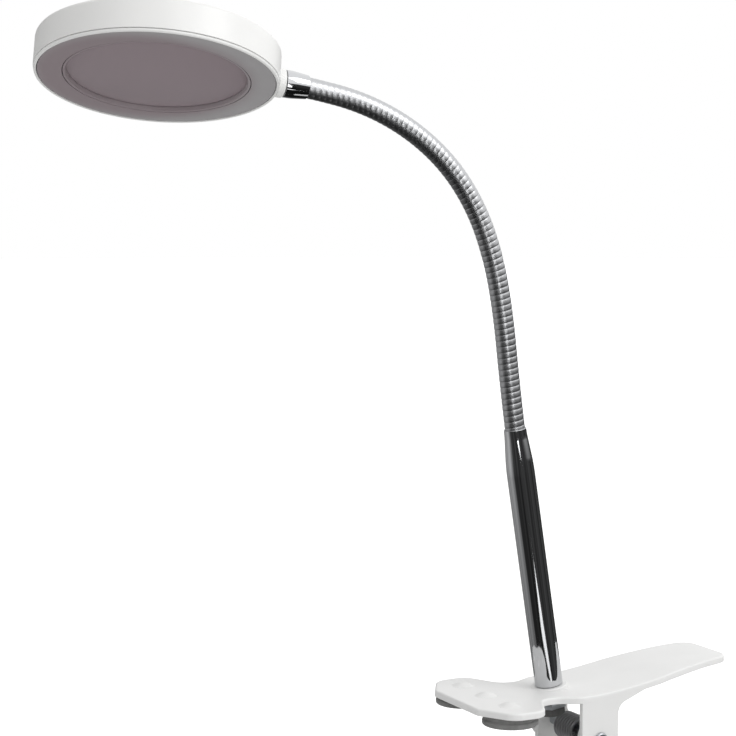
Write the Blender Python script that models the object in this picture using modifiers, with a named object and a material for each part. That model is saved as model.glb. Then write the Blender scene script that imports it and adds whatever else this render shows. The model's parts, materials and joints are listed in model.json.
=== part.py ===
"""Clip-on magnifying lamp: spring clip, chrome tube, gooseneck and a ring-lit lens head.

Metres, +Z up. The origin lies midway between the two upper grip pads, on their contact
plane. +X runs along the clip towards its handles and +Y across it.
"""

from math import acos, asin, cos, pi, radians, sin, sqrt, tan, tau

import bmesh
import bpy
from mathutils import Matrix, Vector

# Fits
GAP = 0.0003  # between pieces that rest on each other
PIN_CLEARANCE = 0.0002  # radial, round every turning pin

# Spring clip
BOARD_THICKNESS = 0.027  # what the jaws hold at rest
PAD_RADIUS = 0.01375
PAD_THICKNESS = 0.0050
PAD_CHAMFER = 0.0005
PAD_SPACING = 0.046  # centre to centre, across the jaw
STUD_RADIUS = 0.0022
STUD_LENGTH = 0.0034
PLATE_THICKNESS = 0.0035
PIVOT_TO_PADS = 0.0508
JAW_REACH = 0.0174  # pads' centre line to the jaw's front edge
JAW_MARGIN = 0.0025  # plate beyond the pads' outer edge
JAW_CORNER = 0.009
NOSE_CORNER = 0.005
WAIST_WIDTH = 0.039
WAIST_LENGTH = 0.009
WAIST_CORNER = 0.007
SHOULDER_LENGTH = 0.010  # waist to the handle's full width
HANDLE_WIDTH = 0.050
HANDLE_END_WIDTH = 0.0364
TAPER_MARGIN = 0.003  # past the cheeks' tails, where the handle starts to narrow
TAPER_CORNER = 0.030
HANDLE_LENGTH = 0.0826  # pivot to the handle's end
HANDLE_RISE = 0.0100
HANDLE_CORNER = 0.009
RISE_START = -0.0092  # from the pivot
DIMPLE_RADIUS = 0.0055
DIMPLE_HEIGHT = 0.0018
CHEEK_RADIUS = 0.0106
CHEEK_THICKNESS = 0.003
CHEEK_STEP = 0.001  # the lower cheeks' radius is this much smaller
CHEEK_GAP = 0.0005  # between an upper cheek and the lower one inside it
CHEEK_TAIL = 0.031  # pivot to where the cheek runs out under the handle
PIN_RADIUS = 0.0025
PIN_HEAD_RADIUS = 0.0042
PIN_HEAD_THICKNESS = 0.0015
SPRING_WIRE = 0.002
SPRING_RADIUS = 0.0062  # to the wire's centre
SPRING_TURNS = 6
SPRING_LEG_REACH = 0.027

# Tube and its fixing
TUBE_BACKSET = 0.0144  # pivot to the tube's foot, along the clip
TUBE_LEAN = radians(9.1)
TUBE_RADIUS = 0.007
TUBE_WALL = 0.001
TUBE_LENGTH = 0.135  # foot to the first neck pivot
SWAGE_LENGTH = 0.0206
MOUTH_LIP = 0.003
BOSS_RADIUS = 0.0092
BOSS_HEIGHT = 0.0016
BOSS_DEPTH = 0.0052
STEM_RADIUS = 0.0048
STEM_BORE_RADIUS = 0.0025
WASHER_THICKNESS = 0.0008
WASHER_RADIUS = 0.0085
NUT_RADIUS = 0.008
NUT_THICKNESS = 0.003
GLAND_RADIUS = 0.004
GLAND_LENGTH = 0.0045
LEAD_RADIUS = 0.0016

# Gooseneck
NECK_RADIUS = 0.005
NECK_BORE_RADIUS = 0.002
NECK_SEGMENT_LENGTH = 0.02675
NECK_LEANS = (7, 6, 10, 19, 33, 49, 63, 76)  # each segment from the vertical, in degrees
NECK_HEADING = radians(9.7)  # the bend's turn from the clip's own centre line
HEAD_LEAN = radians(81.3)
HEAD_ROLL = radians(18.7)
FERRULE_LENGTH = 0.0125
FERRULE_RADIUS = 0.0065
COLLAR_LENGTH = 0.0036
COLLAR_RADIUS = 0.0069
SPIGOT_RADIUS = 0.0036
SPIGOT_PROUD = 0.0002  # past the inside of the shell
FERRULE_SETBACK = 0.0012  # its mouth, ahead of the last pivot

# Head
LENS_RADIUS = 0.043
RING_WIDTH = 0.0135  # lens edge to the outside of the head
HEAD_THICKNESS = 0.0165
SHELL_WALL = 0.0016
TOP_ROUNDING = 0.0018
DECK_THICKNESS = 0.002
SLEEVE_WALL = 0.0016
RIM_WIDTH = 0.006  # round the recess that the cover lies in
COVER_CLEARANCE = 0.0004
COVER_THICKNESS = 0.0025
NOTCH_RADIUS = 0.009
NOTCH_DEPTH = 0.0028
BEZEL_HEIGHT = 0.00135
DIFFUSER_THICKNESS = 0.0016
DIFFUSER_RECESS = 0.0003
LENS_EDGE = 0.003
LENS_SAG = 0.0028
LENS_RECESS = 0.0001  # the lens's lowest point, inside the head's underside
LENS_LEDGE = 0.002  # how far the seat and the retainer reach in over the lens
GASKET_THICKNESS = 0.0008
RETAINER_THICKNESS = 0.002
BOARD_OUTER_FIT = 0.0006
BOARD_INNER_FIT = 0.0012
CIRCUIT_THICKNESS = 0.001
LED_COUNT = 24
LED_SIZE = 0.0028
LED_HEIGHT = 0.0008
HINGE_OFFSET = 0.0025  # cover's edge to its hinge axis
HINGE_RADIUS = 0.0016
HINGE_PIN_RADIUS = 0.0007
HINGE_WIDTH = 0.016
KNUCKLE_WIDTH = 0.0062
HINGE_POCKET = 0.0027  # how far the pocket reaches outside the hinge axis
PIN_INSET = 0.0015  # the pin's ends inside the outer knuckles

# Worked out from the sizes above
MID_PLANE = BOARD_THICKNESS / 2
PLATE_INNER = MID_PLANE + PAD_THICKNESS + GAP
PLATE_OUTER = PLATE_INNER + PLATE_THICKNESS
JAW_HALF = PAD_SPACING / 2 + PAD_RADIUS + JAW_MARGIN
CUP_RADIUS = NECK_RADIUS + GAP
CUP_RIM = sqrt(CUP_RADIUS**2 - NECK_RADIUS**2)  # rim to the pivot, along the neck
HEAD_RADIUS = LENS_RADIUS + RING_WIDTH
HALF_HEIGHT = HEAD_THICKNESS / 2
RECESS_RADIUS = HEAD_RADIUS - RIM_WIDTH
COVER_RADIUS = RECESS_RADIUS - COVER_CLEARANCE
HINGE_SETBACK = COVER_RADIUS + HINGE_OFFSET
DECK_TOP = HALF_HEIGHT - COVER_THICKNESS - GAP
DECK_BOTTOM = DECK_TOP - DECK_THICKNESS
SHELL_INNER = HEAD_RADIUS - SHELL_WALL
SHELL_BOTTOM = BEZEL_HEIGHT + GAP - HALF_HEIGHT
SLEEVE_INNER = LENS_RADIUS + GAP
SLEEVE_OUTER = SLEEVE_INNER + SLEEVE_WALL
DIFFUSER_BOTTOM = -HALF_HEIGHT + DIFFUSER_RECESS
DIFFUSER_TOP = DIFFUSER_BOTTOM + DIFFUSER_THICKNESS
SLEEVE_BOTTOM = DIFFUSER_TOP + GAP
LENS_LOW = LENS_RECESS + LENS_SAG - HALF_HEIGHT  # the lower rim of its edge
LENS_TOP = LENS_LOW + LENS_EDGE
SEAT = LENS_TOP + GASKET_THICKNESS + 2 * GAP
SPIGOT_LENGTH = GAP + SHELL_WALL + SPIGOT_PROUD
HEAD_OFFSET = FERRULE_LENGTH + COLLAR_LENGTH + 2 * GAP + HEAD_RADIUS
HINGE_HEIGHT = HALF_HEIGHT - HINGE_RADIUS


# ---------------------------------------------------------------- scene and materials
def clear_scene():
    for old in list(bpy.data.objects):
        bpy.data.objects.remove(old, do_unlink=True)


def new_collection(name):
    collection = bpy.data.collections.new(name)
    bpy.context.scene.collection.children.link(collection)
    return collection


def material(name, colour, roughness, metallic=0.0, alpha=1.0):
    made = bpy.data.materials.new(name)
    made.use_nodes = True
    shader = made.node_tree.nodes["Principled BSDF"]
    shader.inputs["Base Color"].default_value = (*colour, 1.0)
    shader.inputs["Roughness"].default_value = roughness
    shader.inputs["Metallic"].default_value = metallic
    shader.inputs["Alpha"].default_value = alpha
    made.diffuse_color = (*colour, alpha)
    return made


clear_scene()
PARTS = new_collection("magnifying_lamp")
CUTTERS = new_collection("cutters")
WHITE_ABS = material("white_abs", (0.82, 0.82, 0.81), 0.38)
WHITE_CLIP = material("white_clip_plastic", (0.79, 0.79, 0.79), 0.42)
CHROME = material("chrome", (0.72, 0.72, 0.73), 0.08, 1.0)
STEEL = material("zinc_steel", (0.55, 0.56, 0.58), 0.3, 1.0)
SPRING_STEEL = material("spring_steel", (0.38, 0.38, 0.4), 0.35, 1.0)
RUBBER = material("grey_rubber", (0.14, 0.14, 0.14), 0.85)
FROSTED = material("frosted_acrylic", (0.62, 0.61, 0.61), 0.6)
LENS_CLEAR = material("clear_lens", (0.8, 0.82, 0.84), 0.03, 0.0, 0.35)
CIRCUIT = material("circuit_board", (0.75, 0.78, 0.74), 0.5)
CABLE = material("cable_sheath", (0.7, 0.7, 0.7), 0.6)


# ---------------------------------------------------------------- building helpers
def link(obj, surface, collection=None):
    (collection or PARTS).objects.link(obj)
    if surface:
        obj.data.materials.append(surface)
    return obj


def as_cutter(obj):
    obj.hide_render = True
    obj.display_type = "WIRE"
    return obj


def bmesh_object(name, build, surface=None, collection=None):
    """An object whose mesh is filled by build(bm)."""
    mesh = bpy.data.meshes.new(name)
    bm = bmesh.new()
    build(bm)
    bm.to_mesh(mesh)
    bm.free()
    return link(bpy.data.objects.new(name, mesh), surface, collection)


def box(name, low, high, surface=None, collection=None):
    low, high = Vector(low), Vector(high)
    place = Matrix.Translation((low + high) / 2) @ Matrix.Diagonal((*(high - low), 1))
    return bmesh_object(
        name, lambda bm: bmesh.ops.create_cube(bm, size=1, matrix=place), surface, collection
    )


def cylinder(name, radius, low, high, axis="Z", surface=None, collection=None, sides=32):
    """A cylinder from low to high along the named axis, through the local origin."""
    turn = {"X": Matrix.Rotation(pi / 2, 4, "Y"), "Y": Matrix.Rotation(-pi / 2, 4, "X")}
    place = turn.get(axis, Matrix()) @ Matrix.Translation((0, 0, (low + high) / 2))

    def build(bm):
        bmesh.ops.create_cone(
            bm, cap_ends=True, segments=sides, radius1=radius, radius2=radius,
            depth=high - low, matrix=place,
        )

    return bmesh_object(name, build, surface, collection)


def lathe(name, profile, surface=None, collection=None, steps=48, closed=True):
    """A turned piece. The profile lists (radius, height) down its outer side."""
    mesh = bpy.data.meshes.new(name)
    count = len(profile)
    edges = [(i, i + 1) for i in range(count - 1)] + ([(count - 1, 0)] if closed else [])
    mesh.from_pydata([(r, 0, z) for r, z in profile], edges, [])
    obj = link(bpy.data.objects.new(name, mesh), surface, collection)
    screw = obj.modifiers.new("Turn", "SCREW")
    screw.steps = screw.render_steps = steps
    screw.use_merge_vertices = True
    screw.merge_threshold = 0.00001
    screw.use_smooth_shade = False
    return obj


def arc(centre, radius, start, end, steps):
    """Points on an arc in a profile's plane, angles from the radius axis."""
    return [
        (
            centre[0] + radius * cos(start + (end - start) * i / steps),
            centre[1] + radius * sin(start + (end - start) * i / steps),
        )
        for i in range(steps + 1)
    ]


def rounded(corners, steps=5):
    """A closed outline through (x, y, radius) corners, each rounded within its two sides."""
    points = []
    for i, (x, y, radius) in enumerate(corners):
        here = Vector((x, y))
        before = Vector(corners[i - 1][:2]) - here
        after = Vector(corners[(i + 1) % len(corners)][:2]) - here
        if radius == 0:
            points.append(tuple(here))
            continue
        half = before.angle(after) / 2
        room = 0.495 * min(before.length, after.length)
        reach = min(radius / tan(half), room)
        before.normalize()
        after.normalize()
        middle = here + (before + after).normalized() * reach / cos(half)
        first = here + before * reach - middle
        last = here + after * reach - middle
        sweep = first.angle_signed(last)
        for k in range(steps + 1):
            spoke = first.copy()
            spoke.rotate(Matrix.Rotation(-sweep * k / steps, 2))
            points.append(tuple(middle + spoke))
    return points


def prism(name, outline, low, high, plane="XY", surface=None, collection=None):
    """An outline extruded from low to high across its plane, XY or XZ."""
    stand = {"XY": Matrix(), "XZ": Matrix.Rotation(pi / 2, 4, "X")}[plane]
    # The XZ plane's own normal is -Y after the turn.
    near, far = (low, high) if plane == "XY" else (-high, -low)

    def build(bm):
        face = bm.faces.new([bm.verts.new((x, y, near)) for x, y in outline])
        raised = bmesh.ops.extrude_face_region(bm, geom=[face])["geom"]
        moved = [v for v in raised if isinstance(v, bmesh.types.BMVert)]
        bmesh.ops.translate(bm, verts=moved, vec=(0, 0, far - near))
        bmesh.ops.recalc_face_normals(bm, faces=bm.faces)
        bmesh.ops.transform(bm, matrix=stand, verts=bm.verts)

    return bmesh_object(name, build, surface, collection)


def boolean(obj, other, operation):
    other.parent = obj
    as_cutter(other)
    step = obj.modifiers.new(other.name, "BOOLEAN")
    step.operation = operation
    step.solver = "EXACT"
    step.object = other


def empty(name, matrix):
    marker = bpy.data.objects.new(name, None)
    PARTS.objects.link(marker)
    marker.matrix_world = matrix
    return marker


def attach(obj, parent, place=None):
    obj.parent = parent
    obj.matrix_local = place or Matrix()
    return obj


# ---------------------------------------------------------------- frames of the moving bodies
def frame(x_axis, y_axis, origin):
    z_axis = x_axis.cross(y_axis)
    turn = Matrix((x_axis, y_axis, z_axis)).transposed().to_4x4()
    return Matrix.Translation(origin) @ turn


PIVOT = Vector((PIVOT_TO_PADS, 0, -MID_PLANE))
UPPER_FRAME = Matrix.Translation(PIVOT)
LOWER_FRAME = UPPER_FRAME @ Matrix.Rotation(pi, 4, "X")
TUBE_PLACE = Matrix.Translation((-TUBE_BACKSET, 0, PLATE_OUTER)) @ Matrix.Rotation(
    -TUBE_LEAN, 4, "Y"
)
TUBE_FRAME = UPPER_FRAME @ TUBE_PLACE
FORWARD = Vector((-cos(NECK_HEADING), sin(NECK_HEADING), 0))
ACROSS = Vector((0, 0, 1)).cross(FORWARD)


def neck_frame(lean, pivot):
    """A frame with Z along the neck, X forwards and down, and Y across the bend."""
    along = FORWARD * sin(lean) + Vector((0, 0, cos(lean)))
    return frame(ACROSS.cross(along), ACROSS, pivot)


def neck_frames():
    """The frame of each segment, its origin on the pivot at its lower end."""
    pivot = TUBE_FRAME @ Vector((0, 0, TUBE_LENGTH))
    frames = []
    for lean in NECK_LEANS:
        frames.append(neck_frame(radians(lean), pivot))
        pivot = frames[-1] @ Vector((0, 0, NECK_SEGMENT_LENGTH))
    return frames, pivot


NECK_FRAMES, HEAD_PIVOT = neck_frames()
# The head's own X runs from the neck to the lens, and its Z out of the cover.
AHEAD = FORWARD * sin(HEAD_LEAN) + Vector((0, 0, cos(HEAD_LEAN)))
HEAD_FRAME = frame(AHEAD, ACROSS, HEAD_PIVOT) @ Matrix.Rotation(HEAD_ROLL, 4, "X")


# ---------------------------------------------------------------- spring clip
def handle_height(x):
    """How far the handle has risen, x from the pivot."""
    share = min(max((x - RISE_START) / (HANDLE_LENGTH - RISE_START), 0), 1)
    return HANDLE_RISE * share * share * (3 - 2 * share)


def lever_outline():
    """The lever's plan: a jaw with a lobe over each pad, a waist and the handle."""
    jaw = -PIVOT_TO_PADS
    shoulder = -CHEEK_RADIUS - 0.001
    waist = shoulder - SHOULDER_LENGTH
    half = [
        (jaw - JAW_REACH, PAD_SPACING / 2 - 0.002, NOSE_CORNER),
        (jaw - PAD_RADIUS / 2, JAW_HALF - 0.0005, JAW_CORNER),
        (jaw + PAD_RADIUS * 0.75, JAW_HALF, JAW_CORNER),
        (waist - WAIST_LENGTH, WAIST_WIDTH / 2, WAIST_CORNER),
        (waist, WAIST_WIDTH / 2, JAW_CORNER),
        (shoulder, HANDLE_WIDTH / 2, JAW_CORNER),
        (CHEEK_TAIL + TAPER_MARGIN, HANDLE_WIDTH / 2, TAPER_CORNER),
        (HANDLE_LENGTH, HANDLE_END_WIDTH / 2, HANDLE_CORNER),
    ]
    return rounded(half + [(x, -y, radius) for x, y, radius in reversed(half)])


def sheet_outline():
    """The lever's side: flat at the jaw and rising along the handle."""
    jaw_end = -PIVOT_TO_PADS - JAW_REACH - 0.001
    stations = [jaw_end, -CHEEK_RADIUS] + [HANDLE_LENGTH * k / 9 for k in range(10)]
    stations.append(HANDLE_LENGTH + 0.001)
    outer = [(x, PLATE_OUTER + handle_height(x)) for x in stations]
    inner = [(x, PLATE_INNER + handle_height(x)) for x in reversed(stations)]
    return outer + inner


def cheek_outline(radius):
    """The side cheek that carries the pivot, sweeping up into the handle."""
    inside = PLATE_THICKNESS * 0.55
    under = PLATE_INNER + handle_height(CHEEK_TAIL)
    return rounded(
        [
            (-radius, PLATE_INNER + inside, 0),
            (-radius, -radius, radius),
            (radius, -radius, radius),
            (radius, PLATE_INNER - 0.003, 0.006),
            (CHEEK_TAIL, under + 0.001, 0),
            (CHEEK_TAIL, under + inside, 0),
        ],
        steps=8,
    )


def lever(name, cheek_outer, radius, parent):
    """One half of the clip. Its origin is on the pivot and its Z points outwards."""
    plan = lever_outline()
    top = PLATE_OUTER + HANDLE_RISE + 0.002
    body = prism(name, plan, PLATE_INNER - 0.002, top, surface=WHITE_CLIP)
    wide = JAW_HALF + 0.002
    sheet = prism(name + "_sheet", sheet_outline(), -wide, wide, "XZ", collection=CUTTERS)
    boolean(body, sheet, "INTERSECT")
    for side in (1, -1):
        low, high = sorted((side * cheek_outer, side * (cheek_outer - CHEEK_THICKNESS)))
        cheek = prism(
            f"{name}_cheek_{side}", cheek_outline(radius), low, high, "XZ", collection=CUTTERS
        )
        boolean(body, cheek, "UNION")
    for spot in (PAD_SPACING / 2, 0, -PAD_SPACING / 2):
        place = Matrix.Translation((-PIVOT_TO_PADS, spot, PLATE_OUTER)) @ Matrix.Diagonal(
            (1, 1, DIMPLE_HEIGHT / DIMPLE_RADIUS, 1)
        )

        def dome(bm, place=place):
            bmesh.ops.create_uvsphere(
                bm, u_segments=16, v_segments=8, radius=DIMPLE_RADIUS, matrix=place
            )

        boolean(body, bmesh_object(f"{name}_dimple_{spot}", dome, None, CUTTERS), "UNION")
        if spot:
            hole = cylinder(
                f"{name}_stud_hole_{spot}", STUD_RADIUS + GAP, PLATE_INNER - 0.001,
                PLATE_INNER + STUD_LENGTH, collection=CUTTERS, sides=16,
            )
            boolean(body, hole, "DIFFERENCE")
            hole.location = (-PIVOT_TO_PADS, spot, 0)
    return attach(body, parent)


def pad(name, side, parent):
    """A round rubber pad with the stud that presses into the jaw."""
    profile = [
        (0, PAD_THICKNESS + STUD_LENGTH - GAP),
        (STUD_RADIUS, PAD_THICKNESS + STUD_LENGTH - GAP),
        (STUD_RADIUS, PAD_THICKNESS),
        (PAD_RADIUS, PAD_THICKNESS),
        (PAD_RADIUS, PAD_CHAMFER),
        (PAD_RADIUS - PAD_CHAMFER, 0),
        (0, 0),
    ]
    obj = lathe(name, profile, RUBBER, steps=36, closed=False)
    spot = Vector((-PIVOT_TO_PADS, side * PAD_SPACING / 2, MID_PLANE))
    return attach(obj, parent, Matrix.Translation(spot))


def spring_path():
    """The torsion spring's centre line, from one leg's tip through the coil to the other's."""
    rise = PLATE_INNER + handle_height(SPRING_LEG_REACH) - SPRING_WIRE / 2 - 2 * GAP
    tip = Vector((SPRING_LEG_REACH, rise))
    # Each leg leaves the coil as a tangent.
    start = tip.angle_signed(Vector((1, 0))) + acos(SPRING_RADIUS / tip.length)
    sweep = (SPRING_TURNS + 1) * tau - 2 * start
    half = sweep / tau * (SPRING_WIRE + GAP) / 2
    steps = round(sweep / tau * 14)
    coil = []
    for k in range(steps + 1):
        angle = start + sweep * k / steps
        across = half * (2 * k / steps - 1)
        coil.append((SPRING_RADIUS * cos(angle), across, SPRING_RADIUS * sin(angle)))
    return [(tip.x, -half, rise), *coil, (tip.x, half, -rise)]


def wire(name, points, radius, surface, parent):
    curve = bpy.data.curves.new(name, "CURVE")
    curve.dimensions = "3D"
    curve.bevel_depth = radius
    curve.bevel_resolution = 2
    curve.use_fill_caps = True
    spline = curve.splines.new("POLY")
    spline.points.add(len(points) - 1)
    for point, place in zip(spline.points, points):
        point.co = (*place, 1)
    return attach(link(bpy.data.objects.new(name, curve), surface), parent)


def spring_clip():
    upper = empty("upper_frame", UPPER_FRAME)
    lower = empty("lower_frame", LOWER_FRAME)
    cheek_outer = HANDLE_WIDTH / 2
    inner_cheek = cheek_outer - CHEEK_THICKNESS - CHEEK_GAP
    top = lever("upper_lever", cheek_outer, CHEEK_RADIUS, upper)
    bottom = lever("lower_lever", inner_cheek, CHEEK_RADIUS - CHEEK_STEP, lower)
    for half in (top, bottom):
        bore = cylinder(
            half.name + "_pin_bore", PIN_RADIUS + PIN_CLEARANCE, -HANDLE_WIDTH, HANDLE_WIDTH,
            "Y", collection=CUTTERS, sides=24,
        )
        boolean(half, bore, "DIFFERENCE")
    add_tube_boss(top)
    for side, hand in ((1, "left"), (-1, "right")):
        pad(f"upper_pad_{hand}", side, upper)
        pad(f"lower_pad_{hand}", -side, lower)
    tip = cheek_outer + GAP + PIN_HEAD_THICKNESS
    profile = [
        (0, tip), (PIN_HEAD_RADIUS, tip), (PIN_HEAD_RADIUS, cheek_outer + GAP),
        (PIN_RADIUS, cheek_outer + GAP), (PIN_RADIUS, -tip), (0, -tip),
    ]
    lay = Matrix.Rotation(pi / 2, 4, "X")
    attach(lathe("pivot_pin", profile, STEEL, steps=24, closed=False), upper, lay)
    hold = PIN_RADIUS + PIN_CLEARANCE
    cap = [
        (PIN_HEAD_RADIUS, -cheek_outer - GAP), (PIN_HEAD_RADIUS, -tip + GAP),
        (hold, -tip + GAP), (hold, -cheek_outer - GAP),
    ]
    attach(lathe("pin_clip", cap, STEEL, steps=24), upper, lay)
    wire("torsion_spring", spring_path(), SPRING_WIRE / 2, SPRING_STEEL, upper)


def add_tube_boss(top):
    """Raises the tilted boss that the tube stands on, and bores it for the tube's stem."""
    boss = cylinder("tube_boss", BOSS_RADIUS, -BOSS_DEPTH, BOSS_HEIGHT, collection=CUTTERS)
    boolean(top, boss, "UNION")
    boss.matrix_local = TUBE_PLACE
    bore = cylinder(
        "stem_bore", STEM_RADIUS + GAP, -BOSS_DEPTH - 0.01, BOSS_HEIGHT + 0.01, collection=CUTTERS
    )
    boolean(top, bore, "DIFFERENCE")
    bore.matrix_local = TUBE_PLACE


# ---------------------------------------------------------------- tube and its fixing
def ball(bore):
    """The ball end's profile, from its widest circle down to the bore."""
    return arc((0, 0), NECK_RADIUS, 0, -pi / 2 + asin(bore / NECK_RADIUS), 6)


def cup(bore, pivot):
    """The cup's profile, from the bore up to the rim, for a ball centred on pivot."""
    return arc(
        (0, pivot), CUP_RADIUS, -pi / 2 + asin(bore / CUP_RADIUS), -asin(CUP_RIM / CUP_RADIUS), 6
    )


def tube():
    stand = empty("tube_frame", TUBE_FRAME)
    foot = BOSS_HEIGHT + GAP
    washer_top = -BOSS_DEPTH - GAP
    nut_top = washer_top - WASHER_THICKNESS - GAP
    gland_top = nut_top - NUT_THICKNESS - GAP
    stem_end = gland_top - GLAND_LENGTH * 0.5
    inner = TUBE_RADIUS - TUBE_WALL
    shoulder = TUBE_LENGTH - SWAGE_LENGTH
    mouth = TUBE_LENGTH - CUP_RIM
    profile = [
        (NECK_RADIUS, mouth), (NECK_RADIUS + GAP, mouth - MOUTH_LIP),
        (TUBE_RADIUS, shoulder), (TUBE_RADIUS, foot),
        (STEM_RADIUS, foot), (STEM_RADIUS, stem_end),
        (STEM_BORE_RADIUS, stem_end), (STEM_BORE_RADIUS, foot + TUBE_WALL),
        (inner, foot + TUBE_WALL), (inner, shoulder),
        (NECK_BORE_RADIUS, TUBE_LENGTH - CUP_RADIUS - MOUTH_LIP),
    ] + cup(NECK_BORE_RADIUS, TUBE_LENGTH)[:-1]
    attach(lathe("chrome_tube", profile, CHROME, steps=40), stand)
    washer = [
        (WASHER_RADIUS, washer_top), (WASHER_RADIUS, washer_top - WASHER_THICKNESS),
        (STEM_RADIUS + GAP, washer_top - WASHER_THICKNESS), (STEM_RADIUS + GAP, washer_top),
    ]
    attach(lathe("stem_washer", washer, STEEL, steps=32), stand)
    nut = cylinder("stem_nut", NUT_RADIUS, nut_top - NUT_THICKNESS, nut_top, surface=STEEL, sides=6)
    bore = cylinder(
        "nut_bore", STEM_RADIUS + GAP, nut_top - 0.01, nut_top + 0.01, collection=CUTTERS
    )
    boolean(nut, bore, "DIFFERENCE")
    attach(nut, stand)
    gland_end = gland_top - GLAND_LENGTH
    hold = STEM_RADIUS + GAP
    gland = [
        (hold + 0.0012, gland_top), (hold + 0.0012, gland_end + 0.001),
        (GLAND_RADIUS, gland_end), (LEAD_RADIUS + GAP, gland_end),
        (LEAD_RADIUS + GAP, stem_end - GAP), (hold, stem_end - GAP), (hold, gland_top),
    ]
    attach(lathe("cord_gland", gland, RUBBER, steps=32), stand)
    lead = cylinder(
        "lead_in_tube", LEAD_RADIUS, gland_end, TUBE_LENGTH - CUP_RADIUS - GAP,
        surface=CABLE, sides=16,
    )
    attach(lead, stand)


# ---------------------------------------------------------------- gooseneck
def gooseneck():
    length = NECK_SEGMENT_LENGTH
    profile = (
        [(NECK_RADIUS, length - CUP_RIM)]
        + ball(NECK_BORE_RADIUS)
        + cup(NECK_BORE_RADIUS, length)[:-1]
    )
    for number, place in enumerate(NECK_FRAMES, 1):
        segment = lathe(f"neck_segment_{number}", profile, CHROME, steps=20)
        segment.matrix_world = place


# ---------------------------------------------------------------- head
def ferrule_and_collar(head):
    """The chrome ferrule and white collar, turned about Z and laid along the head's X."""
    along = Matrix.Rotation(pi / 2, 4, "Y")
    profile = (
        [
            (FERRULE_RADIUS, FERRULE_LENGTH), (NECK_RADIUS + 0.0005, FERRULE_SETBACK),
            (NECK_RADIUS, FERRULE_SETBACK),
        ]
        + ball(NECK_BORE_RADIUS)
        + [(NECK_BORE_RADIUS, FERRULE_LENGTH)]
    )
    attach(lathe("neck_ferrule", profile, CHROME, steps=32), head, along)
    start = FERRULE_LENGTH + GAP
    end = start + COLLAR_LENGTH
    collar = [
        (SPIGOT_RADIUS, end + SPIGOT_LENGTH), (SPIGOT_RADIUS, end), (COLLAR_RADIUS, end),
        (COLLAR_RADIUS, start), (NECK_BORE_RADIUS, start),
        (NECK_BORE_RADIUS, end + SPIGOT_LENGTH),
    ]
    attach(lathe("neck_collar", collar, WHITE_ABS, steps=32), head, along)
    lead = cylinder(
        "lead_in_head", LEAD_RADIUS, NECK_BORE_RADIUS, end + SPIGOT_LENGTH, surface=CABLE, sides=16
    )
    attach(lead, head, along)


def housing(head, centre):
    """The outer shell, with the recess for the cover and the sleeve that seats the lens."""
    opening = LENS_RADIUS - LENS_LEDGE
    profile = (
        [(RECESS_RADIUS, HALF_HEIGHT)]
        + arc((HEAD_RADIUS - TOP_ROUNDING, HALF_HEIGHT - TOP_ROUNDING), TOP_ROUNDING, pi / 2, 0, 3)
        + [
            (HEAD_RADIUS, SHELL_BOTTOM), (SHELL_INNER, SHELL_BOTTOM),
            (SHELL_INNER, DECK_BOTTOM), (SLEEVE_OUTER, DECK_BOTTOM),
            (SLEEVE_OUTER, SLEEVE_BOTTOM), (SLEEVE_INNER, SLEEVE_BOTTOM),
            (SLEEVE_INNER, SEAT), (opening, SEAT),
            (opening, DECK_TOP), (RECESS_RADIUS, DECK_TOP),
        ]
    )
    shell = lathe("head_housing", profile, WHITE_ABS, steps=72)
    hole = cylinder(
        "spigot_hole", SPIGOT_RADIUS + GAP, -HEAD_RADIUS - 0.01, -SLEEVE_OUTER - 0.003, "X",
        collection=CUTTERS,
    )
    boolean(shell, hole, "DIFFERENCE")
    half = HINGE_WIDTH / 2 + KNUCKLE_WIDTH
    pocket = box(
        "hinge_pocket",
        (-HINGE_SETBACK - HINGE_POCKET, -half, HINGE_HEIGHT - HINGE_RADIUS - GAP),
        (-RECESS_RADIUS + RIM_WIDTH / 2, half, HALF_HEIGHT + 0.001),
        collection=CUTTERS,
    )
    boolean(shell, pocket, "DIFFERENCE")
    for side in (1, -1):
        low, high = sorted((side * (HINGE_WIDTH / 2 + GAP), side * (half + 0.001)))
        knuckle = cylinder(
            f"housing_knuckle_{side}", HINGE_RADIUS, low, high, "Y", collection=CUTTERS, sides=16
        )
        boolean(shell, knuckle, "UNION")
        knuckle.location = (-HINGE_SETBACK, 0, HINGE_HEIGHT)
    bore = cylinder(
        "knuckle_bore", HINGE_PIN_RADIUS + PIN_CLEARANCE, PIN_INSET - half - GAP,
        half - PIN_INSET + GAP, "Y",
        collection=CUTTERS, sides=16,
    )
    boolean(shell, bore, "DIFFERENCE")
    bore.location = (-HINGE_SETBACK, 0, HINGE_HEIGHT)
    attach(shell, head, centre)


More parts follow.
